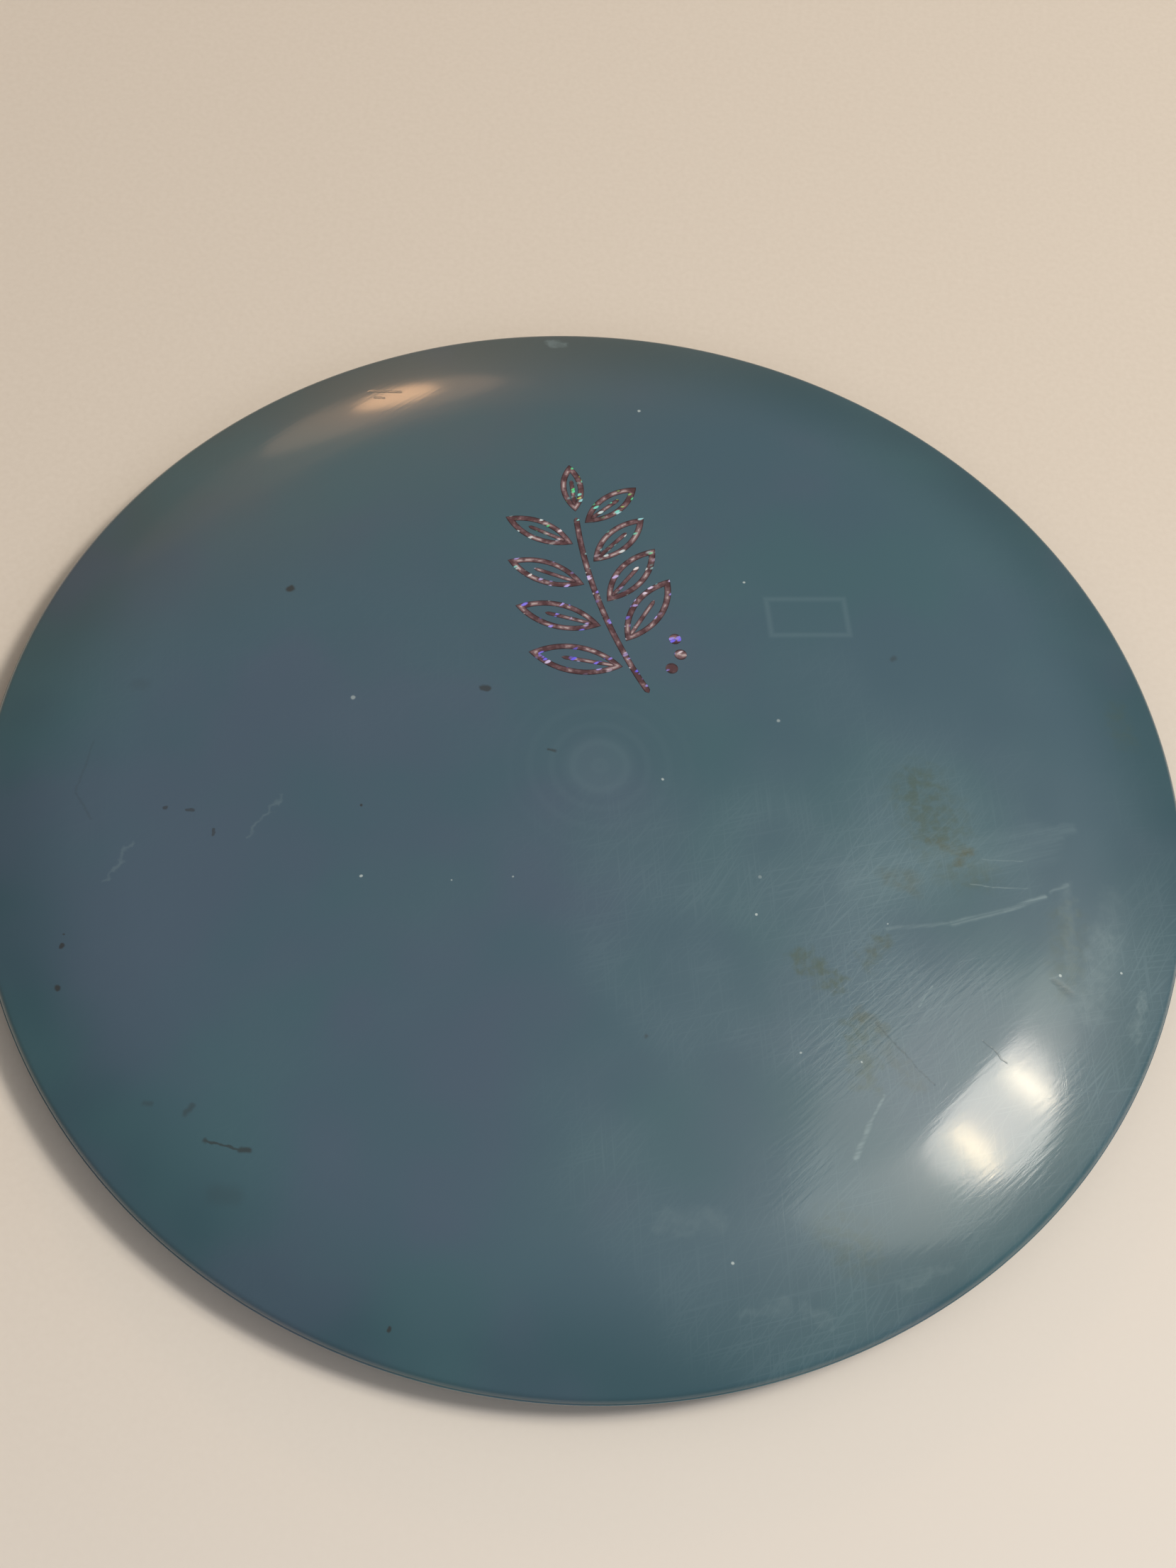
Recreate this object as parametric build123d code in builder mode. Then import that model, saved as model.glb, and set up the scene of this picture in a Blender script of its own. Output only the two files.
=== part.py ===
"""Golf driver disc: one moulded body of revolution with a hot-stamped foil sprig on its flight plate.

Millimetres, +Z up. The origin is the disc's axis, in the plane that the rim rests on. The sprig lies
between the centre and the +Y edge, and grows towards +Y.
"""

import os
from math import atan2, cos, degrees, radians, sin, sqrt

from build123d import *

os.makedirs("parts", exist_ok=True)

# ---- body: driving dimensions -------------------------------------------------------------
outer_diameter = 211.0
rim_width = 20.5  # nose to the inner wall, at the mouth of the hollow
shoulder_inset = 23.2  # nose to the shoulder, where the dome turns into the wing
centre_height = 18.1
shoulder_height = 13.6
wing_crown = 0.5  # rise of the wing's arc above its chord
shoulder_blend = 60.0  # radius that carries the dome over into the wing
nose_height = 6.5
nose_radius = 1.6
nose_tilt = 20.0  # degrees, how steeply the wing's faces run into the nose
plate_thickness = 1.95
rest_width = 3.0  # flat ring that the disc lies on
rest_edge_radius = 0.7
wall_lean = 1.0  # draft of the inner wall over its height
hollow_corner_radius = 2.5

# ---- body: small moulded features ---------------------------------------------------------
parting_ridge_width = 0.30
parting_ridge_height = 0.12
parting_ridge_root = 0.4  # how far the ridge reaches into the nose
gate_pad_diameter = 9.0
gate_pad_height = 0.6
gate_nib_diameter = 2.2
gate_nib_height = 0.5
info_pad_size = (14.4, 8.0)  # blank insert under the plate
info_pad_place = (35.0, 37.4)
info_pad_turn = 11.0
info_pad_height = 0.3

# ---- foil sprig -----------------------------------------------------------------------------
stroke_width = 1.1
recess_depth = 0.16  # how far the hot die presses the plate in
film_thickness = 0.10
cutter_rise = 1.0  # how far the recess cutters stand above the dome
stem_base = (8.0, 16.0)
stem_tip = (-9.0, 53.0)
stem_radius = 95.0
leaf_pairs = 4
lowest_leaf_place = 0.14  # shares of the stem's length
highest_leaf_place = 0.94
leaf_gap = 0.9  # bare plastic between a leaf's base and the stem
leaf_spread = 54.0  # degrees between a leaf and the stem
lowest_leaf_length = 17.5
highest_leaf_length = 13.0
tip_leaf_length = 11.5
leaf_slimness = 0.37  # width over length
leaf_belly = 0.45  # where it is widest, as a share of its length
midrib_width = 0.8
midrib_share = 0.62  # of the leaf's length
berry_diameter = 2.2
berry_count = 3
berry_ring_radius = 4.6
berry_step = 44.0  # degrees round that ring
berry_centre = (8.2, 25.0)

# ---- places worked out from the sizes -------------------------------------------------------
outer_radius = outer_diameter / 2
shoulder_radius = outer_radius - shoulder_inset
mouth_radius = outer_radius - rim_width
nose_centre = (outer_radius - parting_ridge_height - nose_radius, nose_height)
nose_top = (
    nose_centre[0] + nose_radius * sin(radians(nose_tilt)),
    nose_centre[1] + nose_radius * cos(radians(nose_tilt)),
)
nose_bottom = (nose_top[0], nose_centre[1] - nose_radius * cos(radians(nose_tilt)))
nose_tip = (nose_centre[0] + nose_radius, nose_height)
wing_slope = atan2(shoulder_height - nose_top[1], nose_top[0] - shoulder_radius)
wing_middle = (
    (shoulder_radius + nose_top[0]) / 2 + wing_crown * sin(wing_slope),
    (shoulder_height + nose_top[1]) / 2 + wing_crown * cos(wing_slope),
)
dome_rise = centre_height - shoulder_height
dome_radius = (shoulder_radius**2 + dome_rise**2) / (2 * dome_rise)


def dome_height(radius):
    """Height of the dome's upper face at a distance from the axis."""
    return centre_height - dome_radius + sqrt(dome_radius**2 - radius**2)


# ---- the body's section, and layers that follow the dome ------------------------------------------
def body_section():
    """Half section of the disc, in the XZ plane, from the axis to the nose and back."""
    half_way = shoulder_radius / 2
    ceiling_radius = mouth_radius - wall_lean
    ceiling_corner = (ceiling_radius, dome_height(ceiling_radius) - plate_thickness)
    with BuildSketch(Plane.XZ) as section:
        with BuildLine():
            Line((0, centre_height - plate_thickness), (0, centre_height))
            ThreePointArc(
                (0, centre_height), (half_way, dome_height(half_way)), (shoulder_radius, shoulder_height)
            )
            ThreePointArc((shoulder_radius, shoulder_height), wing_middle, nose_top)
            ThreePointArc(nose_top, nose_tip, nose_bottom)
            Line(nose_bottom, (mouth_radius + rest_width, 0))
            Line((mouth_radius + rest_width, 0), (mouth_radius, 0))
            Line((mouth_radius, 0), ceiling_corner)
            ThreePointArc(
                ceiling_corner,
                (half_way, dome_height(half_way) - plate_thickness),
                (0, centre_height - plate_thickness),
            )
        make_face()
        fillet(section.vertices().sort_by_distance(ceiling_corner)[0], hollow_corner_radius)
        fillet(section.vertices().group_by(Axis.Y)[0], rest_edge_radius)
        fillet(section.vertices().sort_by_distance((shoulder_radius, shoulder_height))[0], shoulder_blend)
        ridge_length = parting_ridge_height + parting_ridge_root
        with Locations((outer_radius - ridge_length / 2, nose_height)):
            Rectangle(ridge_length, parting_ridge_width)
    return section.sketch


def dome_layer(outline, low, high):
    """The slab between two levels, counted from the dome's upper face, that lies inside an outline."""
    half_way = shoulder_radius / 2
    with BuildPart() as layer:
        with BuildSketch(Plane.XZ):
            with BuildLine():
                for level in (low, high):
                    ThreePointArc(
                        (0, centre_height + level),
                        (half_way, dome_height(half_way) + level),
                        (shoulder_radius, shoulder_height + level),
                    )
                Line((0, centre_height + low), (0, centre_height + high))
                Line((shoulder_radius, shoulder_height + low), (shoulder_radius, shoulder_height + high))
            make_face()
        revolve(axis=Axis.Z)
        with BuildSketch(Plane.XY):
            add(outline)
        extrude(amount=centre_height + high + 1, mode=Mode.INTERSECT)
    return layer.part


def moulded_pads():
    """What stands down from the ceiling of the hollow: the gate's pad and nib, and a blank info insert."""
    root = -plate_thickness / 2
    with BuildSketch() as gate_pad:
        Circle(gate_pad_diameter / 2)
    with BuildSketch() as gate_nib:
        Circle(gate_nib_diameter / 2)
    with BuildSketch(Plane(origin=(*info_pad_place, 0)).rotated((0, 0, info_pad_turn))) as info_pad:
        Rectangle(*info_pad_size)
    return [
        dome_layer(gate_pad.sketch, -plate_thickness - gate_pad_height, root),
        dome_layer(gate_nib.sketch, -plate_thickness - gate_pad_height - gate_nib_height, root),
        dome_layer(info_pad.sketch, -plate_thickness - info_pad_height, root),
    ]


# ---- the sprig's outlines ---------------------------------------------------------------------
def stem_arc():
    """Centre line of the stem."""
    return RadiusArc(stem_base, stem_tip, stem_radius, mode=Mode.PRIVATE)


def stem_outline():
    """The stem: one round-ended stroke along its arc."""
    with BuildSketch() as outline:
        SlotArc(stem_arc(), stroke_width)
    return outline.sketch


def leaf_outline(base, direction, length):
    """A leaf drawn as a closed line, with its midrib, growing from base at an angle in degrees."""
    half_width = leaf_slimness * length / 2
    middle = leaf_belly * length
    with BuildSketch(Plane(origin=(*base, 0)).rotated((0, 0, direction))) as outline:
        with BuildLine():
            ThreePointArc((0, 0), (middle, half_width), (length, 0))
            ThreePointArc((length, 0), (middle, -half_width), (0, 0))
        make_face()
        offset(amount=-stroke_width, kind=Kind.INTERSECTION, mode=Mode.SUBTRACT)
        with Locations((midrib_share * length / 2 + stroke_width / 2, 0)):
            SlotOverall(midrib_share * length, midrib_width)
    return outline.sketch


def berry_outline(index):
    """One of the round dots in an arc beside the stem's foot."""
    angle = radians(berry_step * (index - 1))
    with BuildSketch() as outline:
        with Locations(
            (
                berry_centre[0] + berry_ring_radius * cos(angle),
                berry_centre[1] + berry_ring_radius * sin(angle),
            )
        ):
            Circle(berry_diameter / 2)
    return outline.sketch


def sprig_outlines():
    """Every stroke of foil by name, in the XY plane."""
    arc = stem_arc()
    reach = stroke_width / 2 + leaf_gap
    outlines = {"foil_stem": stem_outline()}
    leaf_count = 2 * leaf_pairs
    for index in range(leaf_count):
        share = lowest_leaf_place + (highest_leaf_place - lowest_leaf_place) * index / (leaf_count - 1)
        foot = arc @ share
        along = arc % share
        side = 1 if index % 2 == 0 else -1
        heading = degrees(atan2(along.Y, along.X)) + side * leaf_spread
        step = reach / sin(radians(leaf_spread))
        base = (foot.X + step * cos(radians(heading)), foot.Y + step * sin(radians(heading)))
        length = lowest_leaf_length + (highest_leaf_length - lowest_leaf_length) * share
        outlines[f"foil_leaf_{index + 1}"] = leaf_outline(base, heading, length)
    end = arc @ 1
    along = arc % 1
    base = (end.X + reach * along.X, end.Y + reach * along.Y)
    heading = degrees(atan2(along.Y, along.X))
    outlines["foil_leaf_tip"] = leaf_outline(base, heading, tip_leaf_length)
    for index in range(berry_count):
        outlines[f"foil_berry_{index + 1}"] = berry_outline(index)
    return outlines


# ---- disc body: the whole moulding, with the recesses that the hot die leaves ---------------------
outlines = sprig_outlines()
pads = moulded_pads()
recesses = [dome_layer(outline, -recess_depth, cutter_rise) for outline in outlines.values()]

with BuildPart() as disc_body:
    add(body_section())
    revolve(axis=Axis.Z)
    add(pads)
    add(recesses, mode=Mode.SUBTRACT)
disc_body.part.label = "disc_body"
export_step(disc_body.part, "parts/disc_body.step")

# ---- foil: one piece of film in each recess ---------------------------------------------------------
for node, outline in outlines.items():
    with BuildPart() as film:
        add(dome_layer(outline, -recess_depth, film_thickness - recess_depth))
    film.part.label = node
    export_step(film.part, f"parts/{node}.step")
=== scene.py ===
"""Looks of a used golf driver disc: one glossy polyurethane moulding with a foil sprig stamped on its plate.

Sizes are in millimetres unless a name says metres. Meshes are in metres, in the frame's own axes.
"""

import logging
import math
from dataclasses import dataclass
from enum import Enum
from typing import Any

import bmesh
import bpy
from mathutils import Matrix, Vector


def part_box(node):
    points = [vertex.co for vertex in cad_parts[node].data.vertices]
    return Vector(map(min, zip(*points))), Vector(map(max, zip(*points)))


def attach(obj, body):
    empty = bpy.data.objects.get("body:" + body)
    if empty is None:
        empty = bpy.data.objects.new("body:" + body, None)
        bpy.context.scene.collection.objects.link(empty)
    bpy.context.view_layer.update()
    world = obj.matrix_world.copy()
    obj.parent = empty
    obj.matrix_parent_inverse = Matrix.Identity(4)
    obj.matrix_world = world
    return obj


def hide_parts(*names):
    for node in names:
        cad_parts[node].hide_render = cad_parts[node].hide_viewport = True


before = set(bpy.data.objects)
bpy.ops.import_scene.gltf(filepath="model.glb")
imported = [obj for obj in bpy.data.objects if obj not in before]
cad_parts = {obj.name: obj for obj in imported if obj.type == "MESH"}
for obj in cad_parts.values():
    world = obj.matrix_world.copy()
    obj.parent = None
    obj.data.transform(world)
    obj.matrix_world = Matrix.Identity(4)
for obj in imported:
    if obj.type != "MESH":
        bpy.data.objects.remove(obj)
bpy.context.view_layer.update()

MM = 0.001
BODY_NODE = "disc_body"
ROOT = "root"
WELD = 1e-6  # metres; closes seams and poles
ACROSS = "across"  # how far a point of the film is from one edge of its stroke to the other, 0 to 1
log = logging.getLogger("disc")

Point2 = tuple[float, float]
Tree = bpy.types.NodeTree
Socket = bpy.types.NodeSocket


# ---- small tools ------------------------------------------------------------------------------
def linear(colour: str) -> tuple[float, float, float, float]:
    """Turns an sRGB hex colour into linear RGBA.

    Args:
        colour: six hex digits after a hash.

    Returns:
        Linear red, green, blue and an alpha of 1.
    """
    channels = [int(colour[i : i + 2], 16) / 255 for i in (1, 3, 5)]
    return (*(c / 12.92 if c <= 0.04045 else ((c + 0.055) / 1.055) ** 2.4 for c in channels), 1.0)


def add_node(tree: Tree, kind: str, inputs: dict | None = None, **settings: Any) -> bpy.types.Node:
    """Adds a node to a tree.

    Args:
        tree: the shader or geometry tree.
        kind: the node's type name.
        inputs: input name or number to a value, or to the output socket that is linked to it.
        settings: the node's own properties.

    Returns:
        The new node.
    """
    node = tree.nodes.new(kind)
    for name, value in settings.items():
        setattr(node, name, value)
    for key, value in (inputs or {}).items():
        if isinstance(value, Socket):
            tree.links.new(value, node.inputs[key])
        else:
            node.inputs[key].default_value = value
    return node


def show(obj: bpy.types.Object) -> bpy.types.Object:
    """Links an object to the scene and returns it."""
    bpy.context.scene.collection.objects.link(obj)
    return obj


def curve_object(name: str, splines: list[list[Vector]], closed: bool = False) -> bpy.types.Object:
    """Makes a curve object of straight-run splines, in metres, for a geometry tree to sample.

    Args:
        name: the object's name.
        splines: the points of each spline.
        closed: whether the splines join up.

    Returns:
        The curve object, linked to the scene.
    """
    curve = bpy.data.curves.new(name, "CURVE")
    curve.dimensions = "3D"
    for points in splines:
        spline = curve.splines.new("POLY")
        spline.points.add(len(points) - 1)
        for slot, point in zip(spline.points, points):
            slot.co = (*point, 1.0)
        spline.use_cyclic_u = closed
    return show(bpy.data.objects.new(name, curve))


def run_tree(name: str, tree: Tree, values: dict, helpers: list[bpy.types.Object]) -> bpy.types.Object:
    """Runs a geometry tree on an empty mesh and keeps its result as a plain mesh.

    Args:
        name: the finished piece's name.
        tree: the geometry tree.
        values: the tree's inputs by their shown names.
        helpers: curve objects that the tree samples; they are removed afterwards.

    Returns:
        The finished piece, at the origin, with no modifier.
    """
    holder = show(bpy.data.objects.new(name + "_holder", bpy.data.meshes.new(name + "_holder")))
    modifier = holder.modifiers.new("tree", "NODES")
    modifier.node_group = tree
    sockets = {s.name: s.identifier for s in tree.interface.items_tree if s.in_out == "INPUT"}
    for shown, value in values.items():
        modifier[sockets[shown]] = value
    evaluated = holder.evaluated_get(bpy.context.evaluated_depsgraph_get())
    mesh = bpy.data.meshes.new_from_object(evaluated)
    mesh.name = name
    holder.modifiers.remove(modifier)
    for spare in (holder, *helpers):
        bpy.data.objects.remove(spare)
    return show(bpy.data.objects.new(name, mesh))


def face_outward(mesh: bpy.types.Mesh, sharp_degrees: float) -> None:
    """Turns every face of a closed mesh outwards and shades it smooth up to an angle.

    Args:
        mesh: the mesh, which is changed in place.
        sharp_degrees: edges bent more than this stay sharp.
    """
    work = bmesh.new()
    work.from_mesh(mesh)
    bmesh.ops.recalc_face_normals(work, faces=work.faces)
    work.to_mesh(mesh)
    work.free()
    mesh.shade_smooth()
    mesh.set_sharp_from_angle(angle=math.radians(sharp_degrees))


def new_tree(name: str, inputs: dict[str, str]) -> tuple[Tree, bpy.types.Node]:
    """Makes a geometry tree with named inputs and one geometry output.

    Args:
        name: the tree's name.
        inputs: shown name to socket type.

    Returns:
        The tree and its input node.
    """
    tree = bpy.data.node_groups.new(name, "GeometryNodeTree")
    for shown, kind in inputs.items():
        tree.interface.new_socket(name=shown, in_out="INPUT", socket_type=kind)
    tree.interface.new_socket(name="Geometry", in_out="OUTPUT", socket_type="NodeSocketGeometry")
    return tree, add_node(tree, "NodeGroupInput")


def arc_points(start: Point2, middle: Point2, end: Point2, steps: int) -> list[Point2]:
    """Points along the arc through three points, both ends included.

    Args:
        start: first point.
        middle: a point on the way.
        end: last point.
        steps: number of equal steps.

    Returns:
        steps + 1 points.
    """
    (ax, ay), (bx, by), (cx, cy) = start, middle, end
    d = 2 * (ax * (by - cy) + bx * (cy - ay) + cx * (ay - by))
    a2, b2, c2 = ax * ax + ay * ay, bx * bx + by * by, cx * cx + cy * cy
    ux = (a2 * (by - cy) + b2 * (cy - ay) + c2 * (ay - by)) / d
    uy = (a2 * (cx - bx) + b2 * (ax - cx) + c2 * (bx - ax)) / d
    radius = math.hypot(ax - ux, ay - uy)
    first, mid, last = (math.atan2(y - uy, x - ux) for x, y in (start, middle, end))
    sweep = (last - first) % math.tau
    if (mid - first) % math.tau > sweep:
        sweep -= math.tau
    turns = (first + sweep * i / steps for i in range(steps + 1))
    return [(ux + radius * math.cos(t), uy + radius * math.sin(t)) for t in turns]


def line_points(start: Point2, end: Point2, steps: int) -> list[Point2]:
    """Evenly spaced points along a line, both ends included.

    Args:
        start: first point.
        end: last point.
        steps: number of equal steps.

    Returns:
        steps + 1 points.
    """
    return [
        (start[0] + (end[0] - start[0]) * i / steps, start[1] + (end[1] - start[1]) * i / steps)
        for i in range(steps + 1)
    ]


def round_corner(before: Point2, corner: Point2, after: Point2, radius: float, steps: int) -> list[Point2]:
    """Points of the arc that rounds a corner between two straight runs.

    Args:
        before: a point on the run that comes in.
        corner: the sharp corner.
        after: a point on the run that goes out.
        radius: the arc's radius.
        steps: number of equal steps along the arc.

    Returns:
        steps + 1 points.
    """
    at, back, on = (Vector(p) for p in (corner, before, after))
    u, v = (back - at).normalized(), (on - at).normalized()
    half = u.angle(v) / 2
    reach = radius / math.tan(half)
    centre = at + (u + v).normalized() * radius / math.sin(half)
    bulge = centre - (u + v).normalized() * radius
    return arc_points(tuple(at + u * reach), tuple(bulge), tuple(at + v * reach), steps)


# ---- the moulding -----------------------------------------------------------------------------
@dataclass(frozen=True)
class DiscSection:
    """Half section of the moulding, with the same sizes as the CAD body."""

    outer_radius: float
    centre_height: float
    rim_width: float = 20.5
    shoulder_inset: float = 23.2
    shoulder_height: float = 13.6
    wing_crown: float = 0.5
    shoulder_blend: float = 60.0
    nose_height: float = 6.5
    nose_radius: float = 1.6
    nose_tilt: float = 20.0
    plate_thickness: float = 1.95
    rest_width: float = 3.0
    rest_edge_radius: float = 0.7
    wall_lean: float = 1.0
    hollow_corner_radius: float = 2.5
    ridge_width: float = 0.30
    ridge_height: float = 0.12
    gate_pad_radius: float = 4.5
    gate_pad_height: float = 0.6
    gate_nib_radius: float = 1.1
    gate_nib_height: float = 0.5
    small_edge: float = 0.15  # chamfer of the gate's pad and nib
    dome_steps: int = 52
    wing_steps: int = 26
    nose_steps: int = 9
    underside_steps: int = 16
    wall_steps: int = 8
    ceiling_steps: int = 42

    @property
    def shoulder_radius(self) -> float:
        """Distance from the axis to where the dome turns into the wing."""
        return self.outer_radius - self.shoulder_inset

    @property
    def mouth_radius(self) -> float:
        """Radius of the hollow's mouth."""
        return self.outer_radius - self.rim_width

    @property
    def dome_radius(self) -> float:
        """Radius of the sphere that the flight plate's face is part of."""
        rise = self.centre_height - self.shoulder_height
        return (self.shoulder_radius**2 + rise**2) / (2 * rise)

    @property
    def nose_centre(self) -> Point2:
        """Centre of the nose's round edge."""
        return (self.outer_radius - self.ridge_height - self.nose_radius, self.nose_height)

    def dome_height(self, radius: float) -> float:
        """Height of the plate's face at a distance from the axis."""
        return self.centre_height - self.dome_radius + math.sqrt(self.dome_radius**2 - radius**2)

    def nose_point(self, degrees_up: float) -> Point2:
        """A point of the nose's arc.

        Args:
            degrees_up: its angle above the nose's middle.

        Returns:
            The point, as radius and height.
        """
        turn = math.radians(degrees_up)
        x, y = self.nose_centre
        return (x + self.nose_radius * math.cos(turn), y + self.nose_radius * math.sin(turn))

    def wing_points(self, steps: int) -> list[Point2]:
        """Points of the wing's upper face, from the shoulder to the nose.

        Args:
            steps: number of equal steps.

        Returns:
            steps + 1 points, as radius and height.
        """
        start = (self.shoulder_radius, self.shoulder_height)
        end = self.nose_point(90 - self.nose_tilt)
        slope = math.atan2(start[1] - end[1], end[0] - start[0])
        middle = (
            (start[0] + end[0]) / 2 + self.wing_crown * math.sin(slope),
            (start[1] + end[1]) / 2 + self.wing_crown * math.cos(slope),
        )
        return arc_points(start, middle, end, steps)

    def top_points(self) -> list[Point2]:
        """Points of the whole upper face, with the shoulder blended over.

        Returns:
            Points from the axis to the nose, as radius and height.
        """
        half_way = self.shoulder_radius / 2
        corner = (self.shoulder_radius, self.shoulder_height)
        dome = arc_points((0, self.centre_height), (half_way, self.dome_height(half_way)), corner, self.dome_steps)
        wing = self.wing_points(self.wing_steps)
        before, after = (Vector(b) - Vector(a) for a, b in (dome[-2:], wing[:2]))
        reach = self.shoulder_blend * math.tan(before.angle(after) / 2)
        start = Vector(corner) - before.normalized() * reach
        end = Vector(corner) + after.normalized() * reach
        blend = [start * (1 - t) ** 2 + Vector(corner) * 2 * t * (1 - t) + end * t * t for t in (0, 0.25, 0.5, 0.75, 1)]
        kept = [p for p in dome if p[0] < start.x - 0.3], [p for p in wing if p[0] > end.x + 0.3]
        return [*kept[0], *(tuple(p) for p in blend), *kept[1]]

    def outline(self) -> list[Point2]:
        """The half section from the axis over the top, round the nose and back under the plate.

        Returns:
            Points from the axis to the axis, as radius and height.
        """
        half_ridge = self.ridge_width / 2
        ridge_turn = math.degrees(math.asin(half_ridge / self.nose_radius))
        tilt = 90 - self.nose_tilt
        turns = (tilt, (tilt + ridge_turn) / 2, ridge_turn)
        upper_nose = arc_points(*(self.nose_point(turn) for turn in turns), self.nose_steps)
        lower_nose = [(r, 2 * self.nose_height - z) for r, z in reversed(upper_nose)]
        crest = 0.7 * half_ridge
        ridge = [
            (self.outer_radius, self.nose_height + crest),
            (self.outer_radius, self.nose_height - crest),
        ]
        rest_outer = (self.mouth_radius + self.rest_width, 0.0)
        rest_inner = (self.mouth_radius, 0.0)
        wall_top_radius = self.mouth_radius - self.wall_lean
        wall_top = (wall_top_radius, self.dome_height(wall_top_radius) - self.plate_thickness)
        ceiling = [
            (r, self.dome_height(r) - self.plate_thickness)
            for r, _ in line_points((wall_top_radius, 0), (self.gate_pad_radius, 0), self.ceiling_steps)
        ]
        outer_edge = round_corner(lower_nose[-1], rest_outer, rest_inner, self.rest_edge_radius, 4)
        inner_edge = round_corner(rest_outer, rest_inner, wall_top, self.rest_edge_radius, 6)
        hollow_corner = round_corner(rest_inner, wall_top, ceiling[1], self.hollow_corner_radius, 8)
        kept = [p for p in ceiling if p[0] < hollow_corner[-1][0] - 0.5]
        pad = self.centre_height - self.plate_thickness - self.gate_pad_height
        nib = pad - self.gate_nib_height
        edge = self.small_edge
        gate = [
            (self.gate_pad_radius, pad + edge),
            (self.gate_pad_radius - edge, pad),
            (self.gate_nib_radius + edge, pad),
            (self.gate_nib_radius, pad - edge),
            (self.gate_nib_radius, nib + edge),
            (self.gate_nib_radius - edge, nib),
            (0.0, nib),
        ]
        return [
            *self.top_points()[:-1],
            *upper_nose,
            *ridge,
            *lower_nose,
            *line_points(lower_nose[-1], outer_edge[0], self.underside_steps)[1:-1],
            *outer_edge,
            *inner_edge,
            *line_points(inner_edge[-1], hollow_corner[0], self.wall_steps)[1:-1],
            *hollow_corner,
            *kept,
            *gate,
        ]

    def face_at(self, radius: float, turn: float) -> tuple[Vector, Vector]:
        """A point of the upper face and its outward normal, in metres.

        Args:
            radius: distance from the axis.
            turn: angle from +X, in radians.

        Returns:
            The point and the unit normal.
        """
        points = self.top_points()
        for (r0, z0), (r1, z1) in zip(points, points[1:]):
            if r1 >= radius:
                break
        height = z0 + (z1 - z0) * (radius - r0) / (r1 - r0)
        around = Vector((math.cos(turn), math.sin(turn), 0))
        normal = around * (z0 - z1) + Vector((0, 0, r1 - r0))
        return (around * radius + Vector((0, 0, height))) * MM, normal.normalized()


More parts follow.
